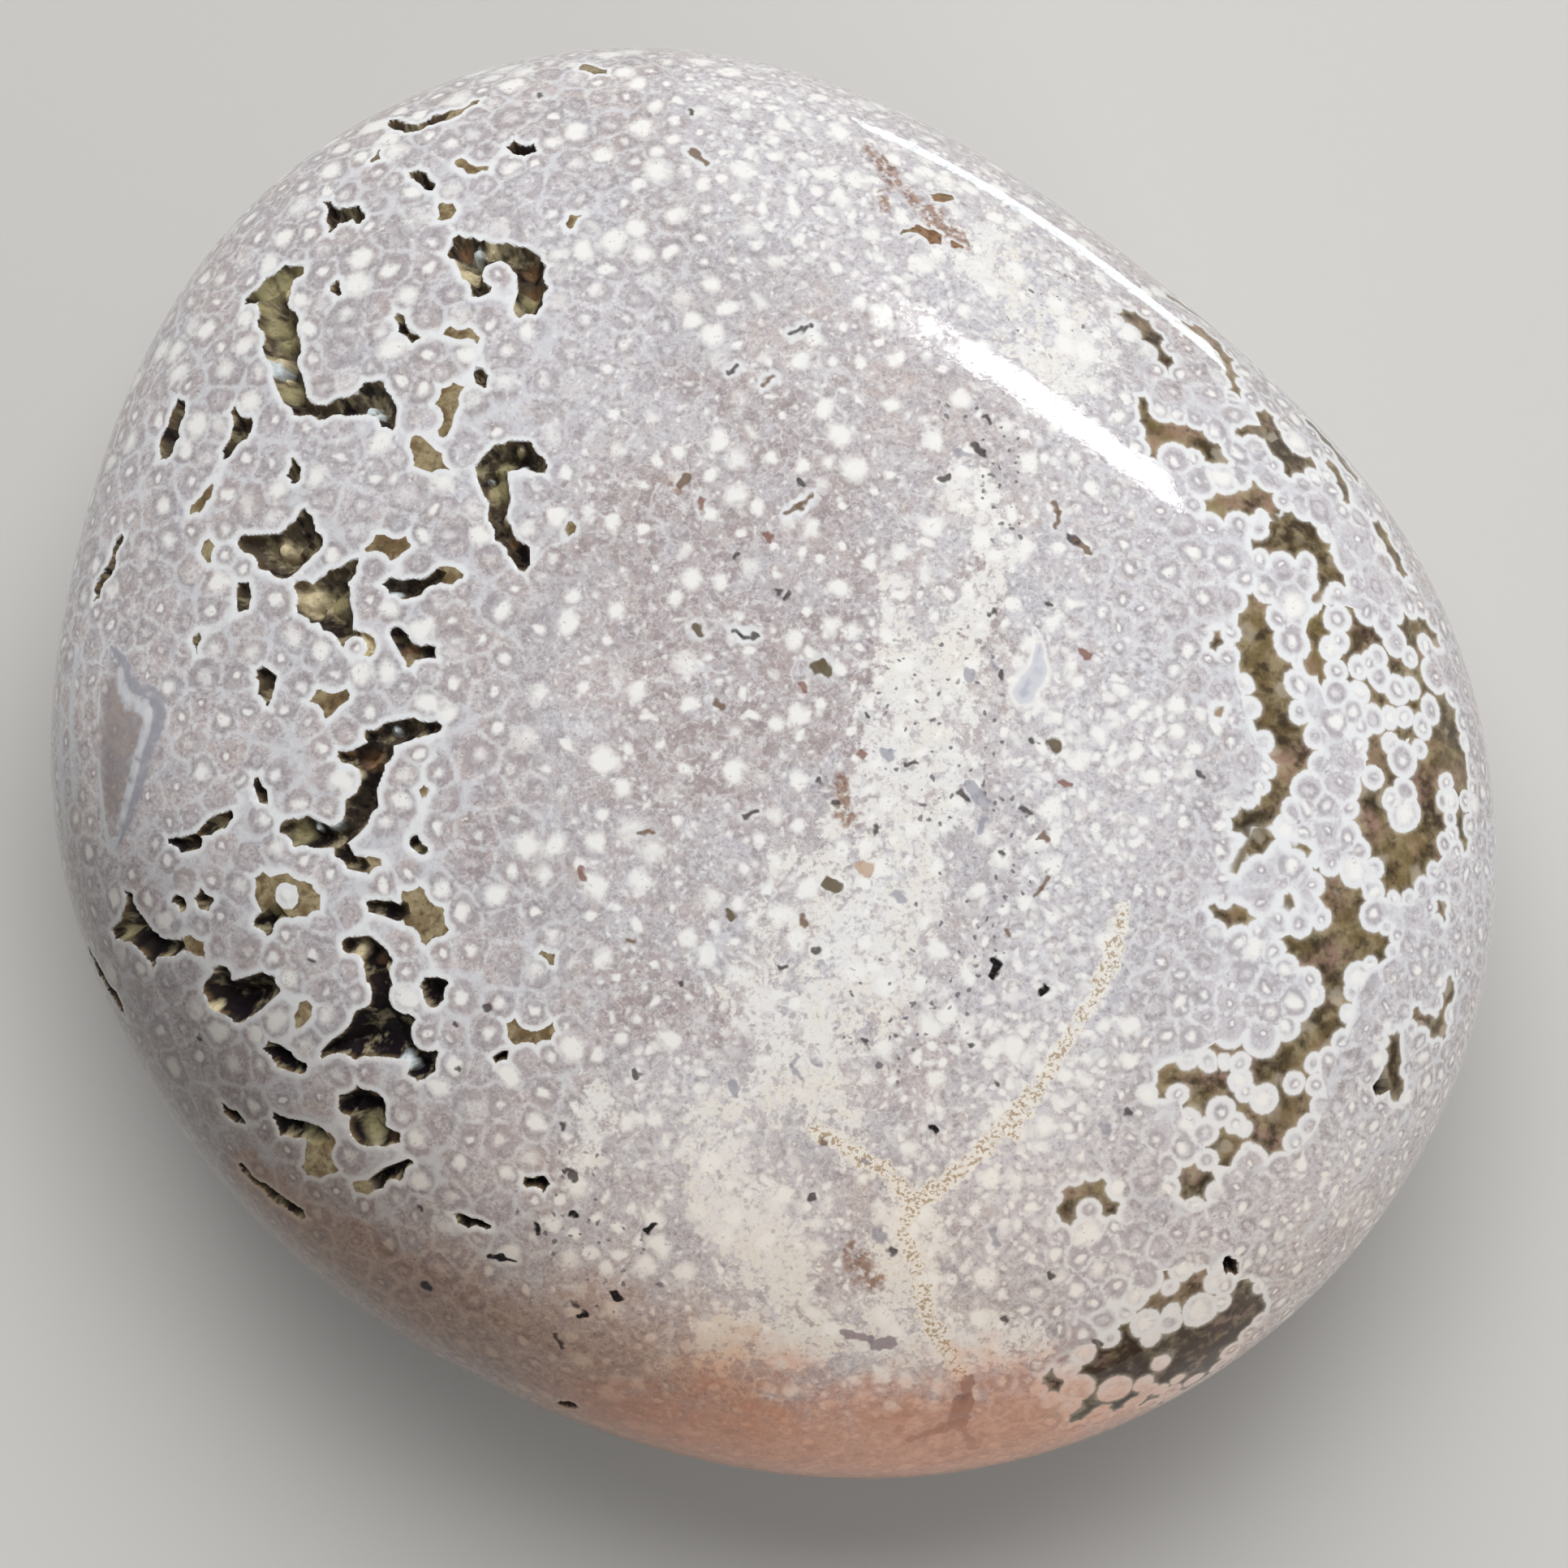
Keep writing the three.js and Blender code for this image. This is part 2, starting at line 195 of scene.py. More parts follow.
# Small marks in the pattern, each a short stroke: x, y to x, y and half width in pixels, its
# tint, and how strong a white outline runs round it
MARKS = [
    (852, 186, 870, 201, 4, "brown", 1), (846, 590, 838, 598, 5, "brown", 0),
    (864, 614, 865, 632, 3, "red", 0.6), (970, 632, 985, 625, 4, "brown", 1),
    (985, 625, 999, 611, 3, "brown", 1), (1004, 824, 1014, 818, 7, "olive", 0.5),
    (1014, 820, 1020, 828, 7, "olive", 0.5), (904, 777, 914, 783, 3, "dark", 1),
    (914, 783, 931, 783, 3, "dark", 1), (932, 998, 918, 1006, 3, "dark", 0.6),
    (976, 412, 999, 401, 3, "dark", 1), (898, 458, 908, 452, 3, "dark", 1),
    (940, 472, 952, 465, 3, "brown", 1), (1078, 1022, 1079, 1026, 4, "dark", 0),
    (1118, 942, 1126, 939, 3, "dark", 0), (1234, 828, 1236, 834, 4, "dark", 0),
    (1271, 912, 1272, 916, 4, "dark", 0), (1476, 952, 1479, 955, 4, "dark", 0),
    (664, 115, 667, 119, 3, "dark", 0.5), (838, 1211, 838, 1214, 3, "dark", 0),
    (692, 1385, 694, 1389, 3, "dark", 0.4), (999, 1474, 1001, 1477, 4, "dark", 0),
    (602, 1239, 602, 1243, 4, "dark", 0), (1389, 1369, 1391, 1371, 4, "dark", 0),
    (244, 1276, 246, 1280, 3, "dark", 0), (379, 1182, 385, 1184, 3, "dark", 0.3),
    (790, 1026, 806, 1024, 3, "brown", 0.4), (773, 1158, 780, 1160, 3, "brown", 0.4),
    (1298, 916, 1301, 921, 7, "olive", 0), (1308, 965, 1318, 967, 4, "red", 0),
    (1335, 804, 1339, 807, 6, "red", 0), (1298, 620, 1305, 634, 3, "brown", 0.3),
    (1305, 634, 1301, 650, 3, "brown", 0.3), (1318, 662, 1326, 667, 5, "dark", 0.2),
    (1326, 668, 1343, 680, 4, "brown", 0.2), (1275, 1100, 1284, 1094, 3, "brown", 0),
    (1284, 1094, 1291, 1081, 3, "brown", 0), (1063, 1068, 1068, 1072, 9, "tan", 0),
    (1224, 1182, 1227, 1186, 6, "black", 0), (1226, 1192, 1222, 1201, 5, "black", 0),
    (1282, 1224, 1288, 1218, 4, "black", 0), (1149, 1390, 1152, 1393, 5, "black", 0),
    (704, 1496, 708, 1497, 5, "black", 0.2), (661, 1510, 663, 1518, 3, "black", 0),
    (798, 1516, 804, 1511, 5, "black", 0.2), (524, 1583, 526, 1585, 6, "black", 0),
    (757, 1594, 761, 1600, 5, "black", 0), (782, 1319, 784, 1325, 4, "dark", 0.3),
    (605, 1548, 616, 1550, 4, "black", 0.4), (616, 1550, 634, 1554, 3, "black", 0.4),
    (706, 1603, 711, 1611, 3, "dark", 0), (716, 1620, 722, 1619, 4, "black", 0),
    (707, 1448, 708, 1454, 5, "dark", 0), (697, 1444, 706, 1442, 3, "dark", 0),
    (716, 1073, 717, 1080, 5, "red", 0), (882, 866, 888, 869, 4, "brown", 0.3),
    (683, 1644, 693, 1660, 3, "dark", 0), (945, 658, 948, 663, 5, "red", 0),
    (905, 684, 909, 683, 3, "dark", 0), (985, 594, 989, 598, 4, "dark", 0),
    (858, 772, 861, 778, 5, "olive", 0.7), (988, 845, 990, 851, 4, "red", 0),
    (955, 728, 958, 731, 3, "dark", 0), (968, 736, 971, 731, 3, "dark", 0),
    (1160, 590, 1168, 589, 4, "dark", 0), (1178, 556, 1192, 561, 4, "blue", 0),
    (1200, 548, 1212, 561, 4, "dark", 0), (1215, 514, 1218, 519, 3, "dark", 0),
    (1193, 828, 1195, 834, 6, "blue", 0), (1223, 817, 1225, 821, 4, "blue", 0),
    (1219, 757, 1223, 754, 3, "dark", 0), (1290, 742, 1293, 745, 3, "dark", 0),
    (1066, 879, 1069, 883, 3, "dark", 0.6), (1093, 928, 1097, 932, 7, "blue", 0.4),
    (1182, 976, 1191, 986, 4, "dark", 0), (1196, 970, 1212, 990, 8, "blue", 0),
    (1212, 1008, 1208, 1024, 5, "blue", 0), (1259, 996, 1269, 1003, 4, "dark", 0),
    (1284, 1030, 1287, 1033, 5, "brown", 0), (1234, 1049, 1235, 1052, 3, "dark", 0),
    (1027, 988, 1031, 990, 4, "dark", 0), (1060, 929, 1062, 932, 4, "red", 0),
    (1007, 961, 1008, 965, 3, "dark", 0), (1020, 1088, 1030, 1094, 8, "olive", 0),
    (898, 1125, 900, 1131, 5, "olive", 0.3), (988, 1130, 990, 1139, 4, "brown", 0),
    (1003, 1172, 1010, 1170, 3, "dark", 0), (960, 1192, 968, 1193, 3, "dark", 0),
    (1104, 1102, 1108, 1108, 6, "blue", 0), (1241, 1147, 1243, 1152, 3, "brown", 0),
    (1065, 1282, 1067, 1285, 3, "dark", 0), (1196, 1285, 1198, 1289, 3, "dark", 0),
    (1227, 1336, 1228, 1339, 3, "dark", 0), (1360, 1388, 1363, 1394, 5, "blue", 0),
    (1064, 1430, 1068, 1432, 4, "blue", 0), (1012, 1404, 1016, 1408, 3, "brown", 0),
    (903, 1336, 906, 1346, 6, "blue", 0), (1041, 1642, 1070, 1650, 5, "plum", 0),
    (1080, 1656, 1097, 1655, 8, "plum", 0), (1097, 1540, 1100, 1543, 5, "dark", 0),
    (1080, 1520, 1085, 1526, 7, "blue", 0), (1223, 1516, 1228, 1534, 4, "blue", 0.3),
    (1293, 1569, 1296, 1575, 4, "dark", 0), (1238, 1624, 1240, 1628, 3, "dark", 0),
    (1349, 1653, 1353, 1657, 4, "dark", 0), (981, 1302, 976, 1314, 3, "blue", 0),
    (976, 1314, 986, 1328, 3, "blue", 0), (1000, 1304, 1008, 1313, 3, "blue", 0),
    (851, 138, 853, 141, 3, "dark", 0), (517, 1487, 519, 1490, 3, "dark", 0),
    (564, 1316, 566, 1319, 3, "dark", 0), (561, 1262, 563, 1265, 3, "dark", 0),
    (1195, 1698, 1187, 1728, 6, "umber", 0), (1187, 1728, 1181, 1748, 14, "umber", 0),
    (1181, 1752, 1157, 1762, 8, "umber", 0), (1157, 1762, 1118, 1774, 5, "umber", 0),
    (1185, 1750, 1199, 1784, 6, "umber", 0),
]  # fmt: skip

# Flush windows of olive jasper on the right side, where the orbs stand apart
WINDOWS = [
    [(1390, 390, 10), (1408, 400, 12), (1424, 422, 6), (1438, 452, 3)],
    [(1455, 398, 6), (1488, 416, 11), (1508, 438, 8), (1522, 482, 3)],
    [(1406, 492, 3), (1416, 520, 6)],
    [(1640, 572, 6), (1654, 598, 6), (1658, 618, 2)],
    [(1562, 625, 3), (1582, 648, 4)],
    [(1630, 715, 5), (1622, 740, 4)],
    [(1798, 938, 7), (1806, 958, 5)],
    [(1592, 1040, 3), (1610, 1050, 5)],
    [(1440, 365, 5), (1480, 392, 5), (1520, 425, 5), (1540, 445, 4)],
    [(1418, 530, 8), (1435, 538, 6), (1462, 535, 12), (1485, 550, 12), (1502, 563, 4)],
    [(1420, 545, 8), (1428, 565, 4)],
    [(1530, 533, 6), (1545, 530, 5)],
    [(1560, 512, 9), (1572, 545, 9), (1590, 575, 10), (1612, 570, 6)],
    [(1612, 520, 6), (1640, 550, 7), (1668, 585, 8)],
    [(1497, 622, 12), (1520, 618, 13), (1550, 610, 10), (1565, 620, 5)],
    [(1562, 672, 9), (1582, 665, 14), (1608, 655, 16), (1618, 665, 12)],
    [(1622, 680, 8), (1640, 703, 10), (1650, 712, 6)],
    [(1700, 650, 8), (1715, 680, 8), (1728, 705, 6)],
    # the long window that runs down between the orbs
    [(1540, 735, 5), (1550, 762, 9), (1552, 800, 16), (1562, 830, 20), (1568, 860, 18),
     (1575, 890, 16), (1590, 915, 18), (1600, 930, 12)],
    [(1500, 785, 6), (1497, 795, 5)],
    [(1618, 770, 5), (1617, 780, 4)],
    [(1618, 810, 8), (1618, 820, 8)],
    [(1668, 800, 8), (1675, 785, 12), (1690, 780, 8)],
    [(1735, 775, 12), (1755, 770, 8), (1768, 785, 5)],
    [(1715, 822, 8), (1728, 828, 9)],
    [(1503, 875, 5), (1498, 880, 3)],
    [(1692, 915, 9), (1700, 932, 8)],
    [(1782, 870, 8), (1790, 900, 12), (1792, 925, 14)],
    [(1580, 963, 12), (1572, 985, 10), (1568, 1000, 8)],
    [(1525, 1012, 8), (1545, 1003, 8)],
    [(1545, 1045, 8), (1558, 1030, 6)],
    [(1519, 1070, 5), (1524, 1062, 4)],
    # the big channel by the right rim
    [(1775, 900, 10), (1765, 940, 12), (1755, 970, 14), (1765, 1000, 10), (1762, 1035, 10),
     (1750, 1065, 12), (1725, 1085, 14), (1712, 1085, 10)],
    [(1695, 985, 10), (1685, 1010, 14), (1700, 1040, 14), (1720, 1060, 16), (1735, 1040, 12)],
    [(1797, 1015, 5), (1805, 1040, 6)],
    [(1775, 1118, 7), (1777, 1126, 6)],
    [(1500, 1125, 6), (1515, 1130, 10), (1535, 1135, 7)],
    [(1587, 1108, 5), (1589, 1120, 4)],
    # the branching window at the lower right
    [(1635, 1085, 6), (1655, 1105, 12), (1668, 1130, 14), (1650, 1155, 18), (1610, 1165, 10),
     (1590, 1170, 6)],
    [(1650, 1155, 16), (1690, 1165, 12), (1705, 1160, 8)],
    [(1642, 1180, 16), (1640, 1200, 16), (1645, 1225, 12), (1640, 1250, 12), (1635, 1270, 10),
     (1610, 1285, 14), (1590, 1300, 16), (1565, 1315, 14), (1545, 1325, 10)],
    [(1430, 1338, 5), (1445, 1328, 7), (1470, 1325, 8), (1492, 1335, 14), (1485, 1358, 8),
     (1482, 1372, 6)],
    [(1610, 1355, 6), (1595, 1370, 12), (1575, 1390, 12), (1560, 1400, 10)],
    [(1515, 1405, 8), (1510, 1420, 9)],
    [(1466, 1450, 14), (1476, 1462, 12)],
    [(1314, 1500, 7), (1318, 1478, 8), (1335, 1465, 8), (1350, 1465, 9), (1362, 1480, 6),
     (1370, 1491, 6)],
    # beyond the pale band at the rim
    [(1787, 1215, 8), (1780, 1240, 6)],
    [(1745, 1252, 6), (1762, 1265, 6), (1778, 1270, 8)],
    [(1715, 1280, 6), (1715, 1305, 8), (1720, 1330, 8), (1722, 1350, 5)],
    # the cluster low on the right
    [(1475, 1572, 6), (1480, 1580, 6)],
    [(1532, 1596, 14), (1524, 1625, 30), (1500, 1645, 30), (1470, 1658, 28), (1445, 1664, 28),
     (1410, 1670, 28), (1385, 1674, 25), (1355, 1685, 22)],
    [(1468, 1676, 24), (1448, 1696, 22), (1488, 1680, 18)],
    [(1405, 1698, 16), (1372, 1710, 16), (1342, 1716, 12)],
    [(1405, 1615, 4), (1435, 1603, 5), (1455, 1597, 4)],
    [(1337, 1733, 9), (1325, 1750, 5)],
    [(1293, 1700, 10), (1300, 1710, 6)],
    [(1388, 1722, 8), (1375, 1735, 6)],
]  # fmt: skip

# Orbs that stand alone in a gap: x, y and radius, in pixels
LONE_ORBS = [
    (613, 339, 19), (353, 1104, 15), (528, 1273, 22), (371, 708, 6), (437, 797, 14),
    (425, 962, 20), (505, 140, 15), (1730, 1003, 24), (1727, 935, 23), (1788, 987, 15),
    (1780, 1040, 14), (1815, 990, 16), (1610, 995, 18), (1584, 1020, 17), (1661, 1030, 19),
    (1667, 1073, 20), (1693, 1125, 20), (1673, 1202, 18), (1614, 1208, 15), (1545, 1170, 17),
    (1517, 1212, 15), (1527, 1331, 15), (1505, 1370, 19), (1558, 1354, 18), (1594, 1335, 15),
    (1509, 1309, 9), (1537, 1418, 10), (1533, 1390, 10), (1637, 1307, 18), (1498, 1580, 15),
    (1478, 1614, 24), (1443, 1617, 12), (1411, 1630, 20), (1417, 1649, 12), (1430, 1679, 13),
    (1334, 1668, 16), (1315, 1684, 18), (1340, 1518, 20), (1448, 567, 24), (1508, 590, 22),
    (1592, 790, 24), (1592, 745, 24), (1648, 762, 20), (1640, 800, 16), (1647, 828, 17),
    (1675, 853, 15), (1678, 895, 16), (1712, 885, 15), (1688, 817, 15), (1598, 545, 22),
    (1409, 1705, 13), (1374, 1712, 22), (1327, 1712, 22), (1450, 1700, 9), (1430, 1712, 11),
]  # fmt: skip

# How the orbs grew, at places on the face: x, y, distance between orbs in millimetres, the white
# heart's radius as a share of it, and the width in millimetres of the white rim at a gap
ORB_GROWTH = [
    (300, 700, 1.35, 0.21, 0.19), (300, 1200, 1.40, 0.19, 0.18), (500, 1000, 1.35, 0.20, 0.19),
    (520, 400, 1.30, 0.27, 0.19), (400, 1450, 1.30, 0.14, 0.14), (160, 900, 1.10, 0.13, 0.13),
    (700, 250, 1.15, 0.27, 0.15), (950, 180, 0.95, 0.30, 0.10), (820, 600, 1.20, 0.25, 0.10),
    (800, 900, 1.15, 0.26, 0.08), (850, 1200, 1.05, 0.25, 0.08), (1050, 450, 1.05, 0.27, 0.10),
    (1250, 380, 0.80, 0.33, 0.10), (1200, 750, 0.80, 0.30, 0.08), (1350, 950, 0.76, 0.33, 0.08),
    (1250, 1300, 0.76, 0.33, 0.08), (1150, 1550, 0.85, 0.30, 0.08), (800, 1500, 1.00, 0.28, 0.10),
    (600, 1350, 1.25, 0.21, 0.15), (1500, 700, 1.05, 0.14, 0.17), (1650, 800, 1.10, 0.13, 0.20),
    (1600, 1100, 1.10, 0.13, 0.20), (1550, 1350, 1.05, 0.15, 0.19), (1750, 1150, 0.80, 0.18, 0.13),
    (1650, 1470, 0.75, 0.24, 0.10), (1400, 1650, 1.00, 0.24, 0.20), (1000, 1720, 0.90, 0.22, 0.09),
]  # fmt: skip
LOOSE_PATCHES = [  # where windows show between all the orbs: x, y, radius in pixels
    (1745, 985, 60), (1545, 1350, 70), (1435, 1650, 75), (1700, 850, 60), (1655, 790, 35),
]  # fmt: skip

# Zones of colour: lines of x, y and half width, in pixels of the picture
CREAM = [
    [(1185, 300, 42), (1260, 370, 60), (1340, 440, 48)],
    [(1185, 600, 30), (1240, 690, 36), (1185, 780, 56), (1140, 860, 80), (1130, 960, 75),
     (1100, 1060, 85), (1045, 1150, 100), (1005, 1240, 95), (985, 1330, 70),
     (1045, 1390, 45)],
    [(1100, 720, 24), (1110, 790, 28)],
    [(1035, 1000, 40), (1040, 1080, 40)],
    [(735, 1360, 30), (720, 1420, 30)],
    [(1130, 1480, 35), (1120, 1560, 45), (1150, 1640, 40)],
    [(880, 1380, 45), (910, 1480, 55), (960, 1570, 50)],
    [(870, 1650, 25), (1000, 1640, 40), (1140, 1660, 40), (1260, 1650, 30)],
]  # fmt: skip
MAUVE = [
    [(720, 640, 70), (860, 640, 90), (900, 800, 120), (850, 950, 100)],
    [(1020, 740, 70), (1040, 880, 70), (1050, 1060, 55)],
    [(1200, 700, 40), (1215, 780, 40)],
    [(760, 1220, 60), (850, 1260, 50)],
    [(590, 1010, 30), (600, 1060, 30)],
    [(860, 470, 60), (1000, 600, 60)],
]  # fmt: skip
PALE = [  # where small white blobs crowd
    [(1330, 500, 80), (1390, 640, 100), (1390, 900, 140), (1360, 1150, 150), (1290, 1420, 140)],
    [(930, 170, 110), (1150, 300, 120), (1310, 420, 80)],
    [(1820, 1050, 50), (1770, 1130, 55), (1710, 1350, 60), (1560, 1490, 60), (1400, 1560, 60)],
    [(850, 1380, 90), (930, 1500, 90)],
    [(540, 240, 70), (700, 260, 80), (720, 400, 105), (640, 570, 80)],
    [(640, 570, 60), (400, 570, 60)],
]  # fmt: skip
ORBED = [  # where every orb shows its rim, also away from the windows
    [(1480, 560, 90), (1600, 700, 110), (1640, 880, 130), (1640, 1080, 130), (1560, 1250, 110),
     (1500, 1380, 90)],
    [(1340, 1510, 60), (1400, 1640, 80)],
]  # fmt: skip
TAUPE = [
    [(300, 1440, 18), (400, 1530, 28), (560, 1620, 55), (720, 1680, 70), (900, 1720, 60)],
]  # fmt: skip
# rosy along the lower rim: the stone's own tint, partly painted warm light reflected from below
ROSY = [
    [(640, 1780, 45), (880, 1815, 75), (1100, 1835, 90), (1300, 1800, 72), (1450, 1735, 42),
     (1560, 1665, 30)],
]  # fmt: skip
DULL = [[(1090, 375, 30), (1125, 405, 34), (1160, 425, 20)]]  # a mottled, less polished patch
PEPPER = [
    [(1200, 540, 60), (1240, 640, 50)],
    [(1150, 840, 90), (1200, 960, 90), (1240, 1050, 60), (1100, 1250, 90)],
    [(700, 1470, 80), (760, 1560, 60)],
    [(1290, 380, 60)] * 2,
]  # fmt: skip
VEINS = [  # sandy tan, with a cream border
    [(1383, 1120, 7), (1374, 1166, 8), (1351, 1223, 6), (1320, 1275, 5), (1285, 1330, 6),
     (1251, 1381, 9), (1202, 1424, 7), (1165, 1459, 8), (1122, 1482, 7)],
    [(1005, 1395, 6), (1060, 1425, 7), (1102, 1450, 7), (1122, 1482, 7)],
    [(1122, 1482, 7), (1112, 1520, 6), (1130, 1570, 7), (1150, 1640, 8), (1190, 1700, 5)],
]  # fmt: skip
STAINS = [  # rusty brown, soft
    [(1072, 186, 9), (1090, 210, 13), (1102, 224, 9)],
    [(1086, 240, 7), (1090, 255, 7)],
    [(1115, 240, 8), (1150, 268, 14), (1190, 305, 10)],
    [(820, 590, 8), (835, 600, 8)],
    [(1038, 960, 10), (1040, 1010, 12)],
    [(1060, 1560, 18), (1080, 1575, 14)],
    [(1045, 1540, 8), (1060, 1530, 8)],
]  # fmt: skip
AGATE_SLIT = [[(1277, 774, 3), (1280, 800, 6), (1279, 830, 11), (1260, 854, 13)]]
AGATE_LENS = [  # outline of its brown core, at the left rim
    (134, 830), (149, 815), (153, 838), (162, 871), (174, 868), (181, 880), (182, 893),
    (179, 915), (170, 931), (165, 959), (157, 987), (148, 1013), (140, 1032), (134, 1042),
    (130, 1009), (123, 981), (119, 950), (119, 918), (121, 887), (121, 852),
]  # fmt: skip
AGATE_PALE = [  # the white lines round it, those along its rim, and some at the lower right rim
    [(1738, 1366, 3), (1695, 1425, 3), (1640, 1490, 3), (1560, 1560, 3)],
    [(1657, 1282, 3), (1652, 1320, 4), (1629, 1365, 4), (1585, 1412, 4), (1540, 1450, 3)],
    [(1434, 1472, 3), (1453, 1497, 4), (1494, 1481, 3)],
    [(149, 817, 3), (150, 848, 5), (158, 866, 7), (170, 872, 6), (180, 865, 4), (182, 881, 5),
     (179, 903, 5), (171, 925, 4), (165, 950, 4), (160, 972, 4), (154, 994, 4), (149, 1016, 4),
     (136, 1054, 3)],
    [(134, 796, 2), (122, 865, 2), (117, 912, 2), (123, 975, 3), (130, 1038, 3)],
    [(96, 790, 3), (88, 880, 3), (92, 990, 3)],
    [(76, 860, 2), (74, 950, 3), (82, 1040, 2)],
]  # fmt: skip
AGATE_GREY = [  # the blue-grey band outside those
    [(136, 798, 3), (151, 811, 6), (157, 833, 7), (168, 849, 8), (184, 852, 8), (194, 863, 8),
     (196, 881, 8), (192, 903, 7), (182, 922, 7), (176, 945, 6), (171, 969, 6), (162, 997, 6),
     (152, 1022, 5), (142, 1047, 4)],
]  # fmt: skip
# What shows inside the vugs: x, y and radius, in pixels of the picture
LUMPS = {
    "olive": [
        (322, 352, 18), (345, 342, 16), (366, 335, 12), (335, 395, 16), (352, 480, 14),
        (615, 600, 14), (620, 575, 12), (412, 742, 14), (440, 905, 10), (368, 1025, 14),
        (148, 1150, 9), (520, 1130, 16), (455, 1392, 16), (395, 1415, 18), (382, 1440, 10),
        (330, 1110, 12), (375, 1108, 10), (345, 412, 12), (320, 378, 10), (650, 365, 10),
        (452, 780, 10), (378, 1395, 8), (345, 1130, 6),
    ],
    "tan": [
        (350, 357, 11), (340, 442, 11), (345, 676, 13), (382, 738, 18), (450, 797, 14),
        (575, 335, 14), (605, 305, 9), (632, 381, 11), (442, 1170, 10), (476, 1192, 7),
        (625, 640, 7), (640, 552, 5), (440, 955, 7), (470, 680, 9), (540, 1120, 12),
        (516, 1145, 12), (350, 465, 6), (560, 325, 8), (262, 1243, 7), (408, 515, 5),
        (460, 1075, 8),
    ],
    "brown": [
        (645, 390, 9), (655, 350, 9), (650, 325, 10), (570, 303, 9), (365, 692, 9),
        (372, 712, 7), (505, 800, 9), (430, 925, 7), (455, 935, 12), (632, 665, 8),
        (235, 1163, 9), (347, 1125, 6), (465, 1182, 8), (480, 1400, 8), (455, 1060, 6),
        (505, 1070, 6), (455, 1352, 6),
    ],
    # pale bluish crystals, with the glints of light on them painted as colour
    "frost": [
        (336, 454, 12), (455, 503, 9), (466, 510, 6), (586, 308, 8), (645, 577, 6),
        (602, 588, 4), (371, 706, 5), (404, 1000, 12), (412, 1012, 10), (389, 1019, 6),
        (486, 899, 6), (500, 1306, 9), (508, 1312, 7), (308, 840, 8), (487, 733, 7),
        (353, 1104, 11),
    ],
}  # fmt: skip

SEAM = -0.20  # half width, in millimetres, of a seam that is shut: only its rims show
SEAM_REACH = (0.5, 2.4)  # a seam joins the ends of two gaps that are this far apart

# Where the picture doesn't reach, short random gaps take over
HIDDEN_GAPS = 150
HIDDEN_BELOW = 9.0  # above the flat
HIDDEN_WINDOWS_FROM = -4.0  # to the right of this line they are all windows
HIDDEN_FLAT = 1.5  # below this height no vug is cut
HIDDEN_STEP = (0.5, 1.4)
HIDDEN_HALF_WIDTH = (0.15, 0.5)

# Share of the spacing beyond which the ground between orbs is solid, at a vug, fill and window
FILL_IN = np.array((0.08, 0.16, 0.54))
# The same for a small gap, as a share of its half width
REACH = {"vug": 0.6, "fill": 0.7, "window": 0.95}

BENDS = ((0.13, 1.5), (0.04, 0.55))  # of the pattern: how far, over what length

# Orbs: distances as shares of the spacing
PLACES_TRIED = 110000
FIRST_ROW = (0.40, 0.62)  # from a gap's edge
CLEAR_FIRST, CLEAR_REST = 0.74, 0.84  # between two orbs
INTO_WINDOW, INTO_GAP = -0.035, 0.05  # millimetres that an orb's edge stands into a gap
LOW_ORBS = 1590  # pixels down the picture, below which lone orbs are white throughout

# Open vugs, in millimetres
FINE_BANDS = (0.544, 0.272)  # the triangles are halved this far outside a vug, and again
FINE_REACH, CUT_REACH = 2.0, 1.2  # and nothing is halved or cut this far from a drawn gap
WALL_RUN, WALL_DEPTH = 0.16, 0.45
FLOOR_RUN, FLOOR_DEPTH = (0.05, 0.8), 0.9
FLOOR_BUMPS = (0.7, 0.4)  # size, and share of the floor's depth
PALE_RISE, OLIVE_RISE = 0.75, 0.35  # of the lumps inside, as shares of the depth

# The two discs of the bake map: middle and radius
FACE_DISC = (0.365, 0.35)
UNDER_DISC = (0.7787, 0.21)

SEED = 20
ICO_LEVELS = 7
NEAREST_ORBS = 6
NEAREST_MARKS = 2
SHORTEST_MARK = 0.01  # millimetres, so that a round mark has a direction
SMOOTH_BELOW = math.radians(45)


def colour(red, green, blue):
    """A colour as seen in the picture, 0 to 255, as the shader's linear values."""
    linear = [
        v / 12.92 if v <= 0.04045 else ((v + 0.055) / 1.055) ** 2.4
        for v in (red / 255, green / 255, blue / 255)
    ]
    return (*linear, 1)


MARK_TINTS = {  # colour, and how strongly it shows
    "black": ((20, 16, 16), 1.0),
    "dark": ((72, 66, 66), 0.9),
    "brown": ((120, 98, 78), 0.9),
    "umber": ((116, 92, 92), 0.75),
    "plum": ((134, 120, 130), 0.8),
    "olive": ((104, 92, 70), 0.95),
    "red": ((134, 92, 78), 0.85),
    "tan": ((194, 164, 136), 0.8),
    "blue": ((146, 146, 160), 0.7),
}


# ------------------------------------------------------------------ shape of the pebble
def outline_radius(angle):
    """Radius of the widest line: the even trigonometric curve through OUTLINE."""
    count = len(OUTLINE)
    radius = np.zeros_like(angle)
    for i, value in enumerate(OUTLINE):
        away = angle - 2 * math.pi * i / count
        at_point = np.abs(np.sin(away / 2)) < 1e-6
        safe = np.where(at_point, 1.0, away)
        weight = np.sin(count * safe / 2) / (count * np.tan(safe / 2))
        radius += value * np.where(at_point, 1.0, weight)
    return radius


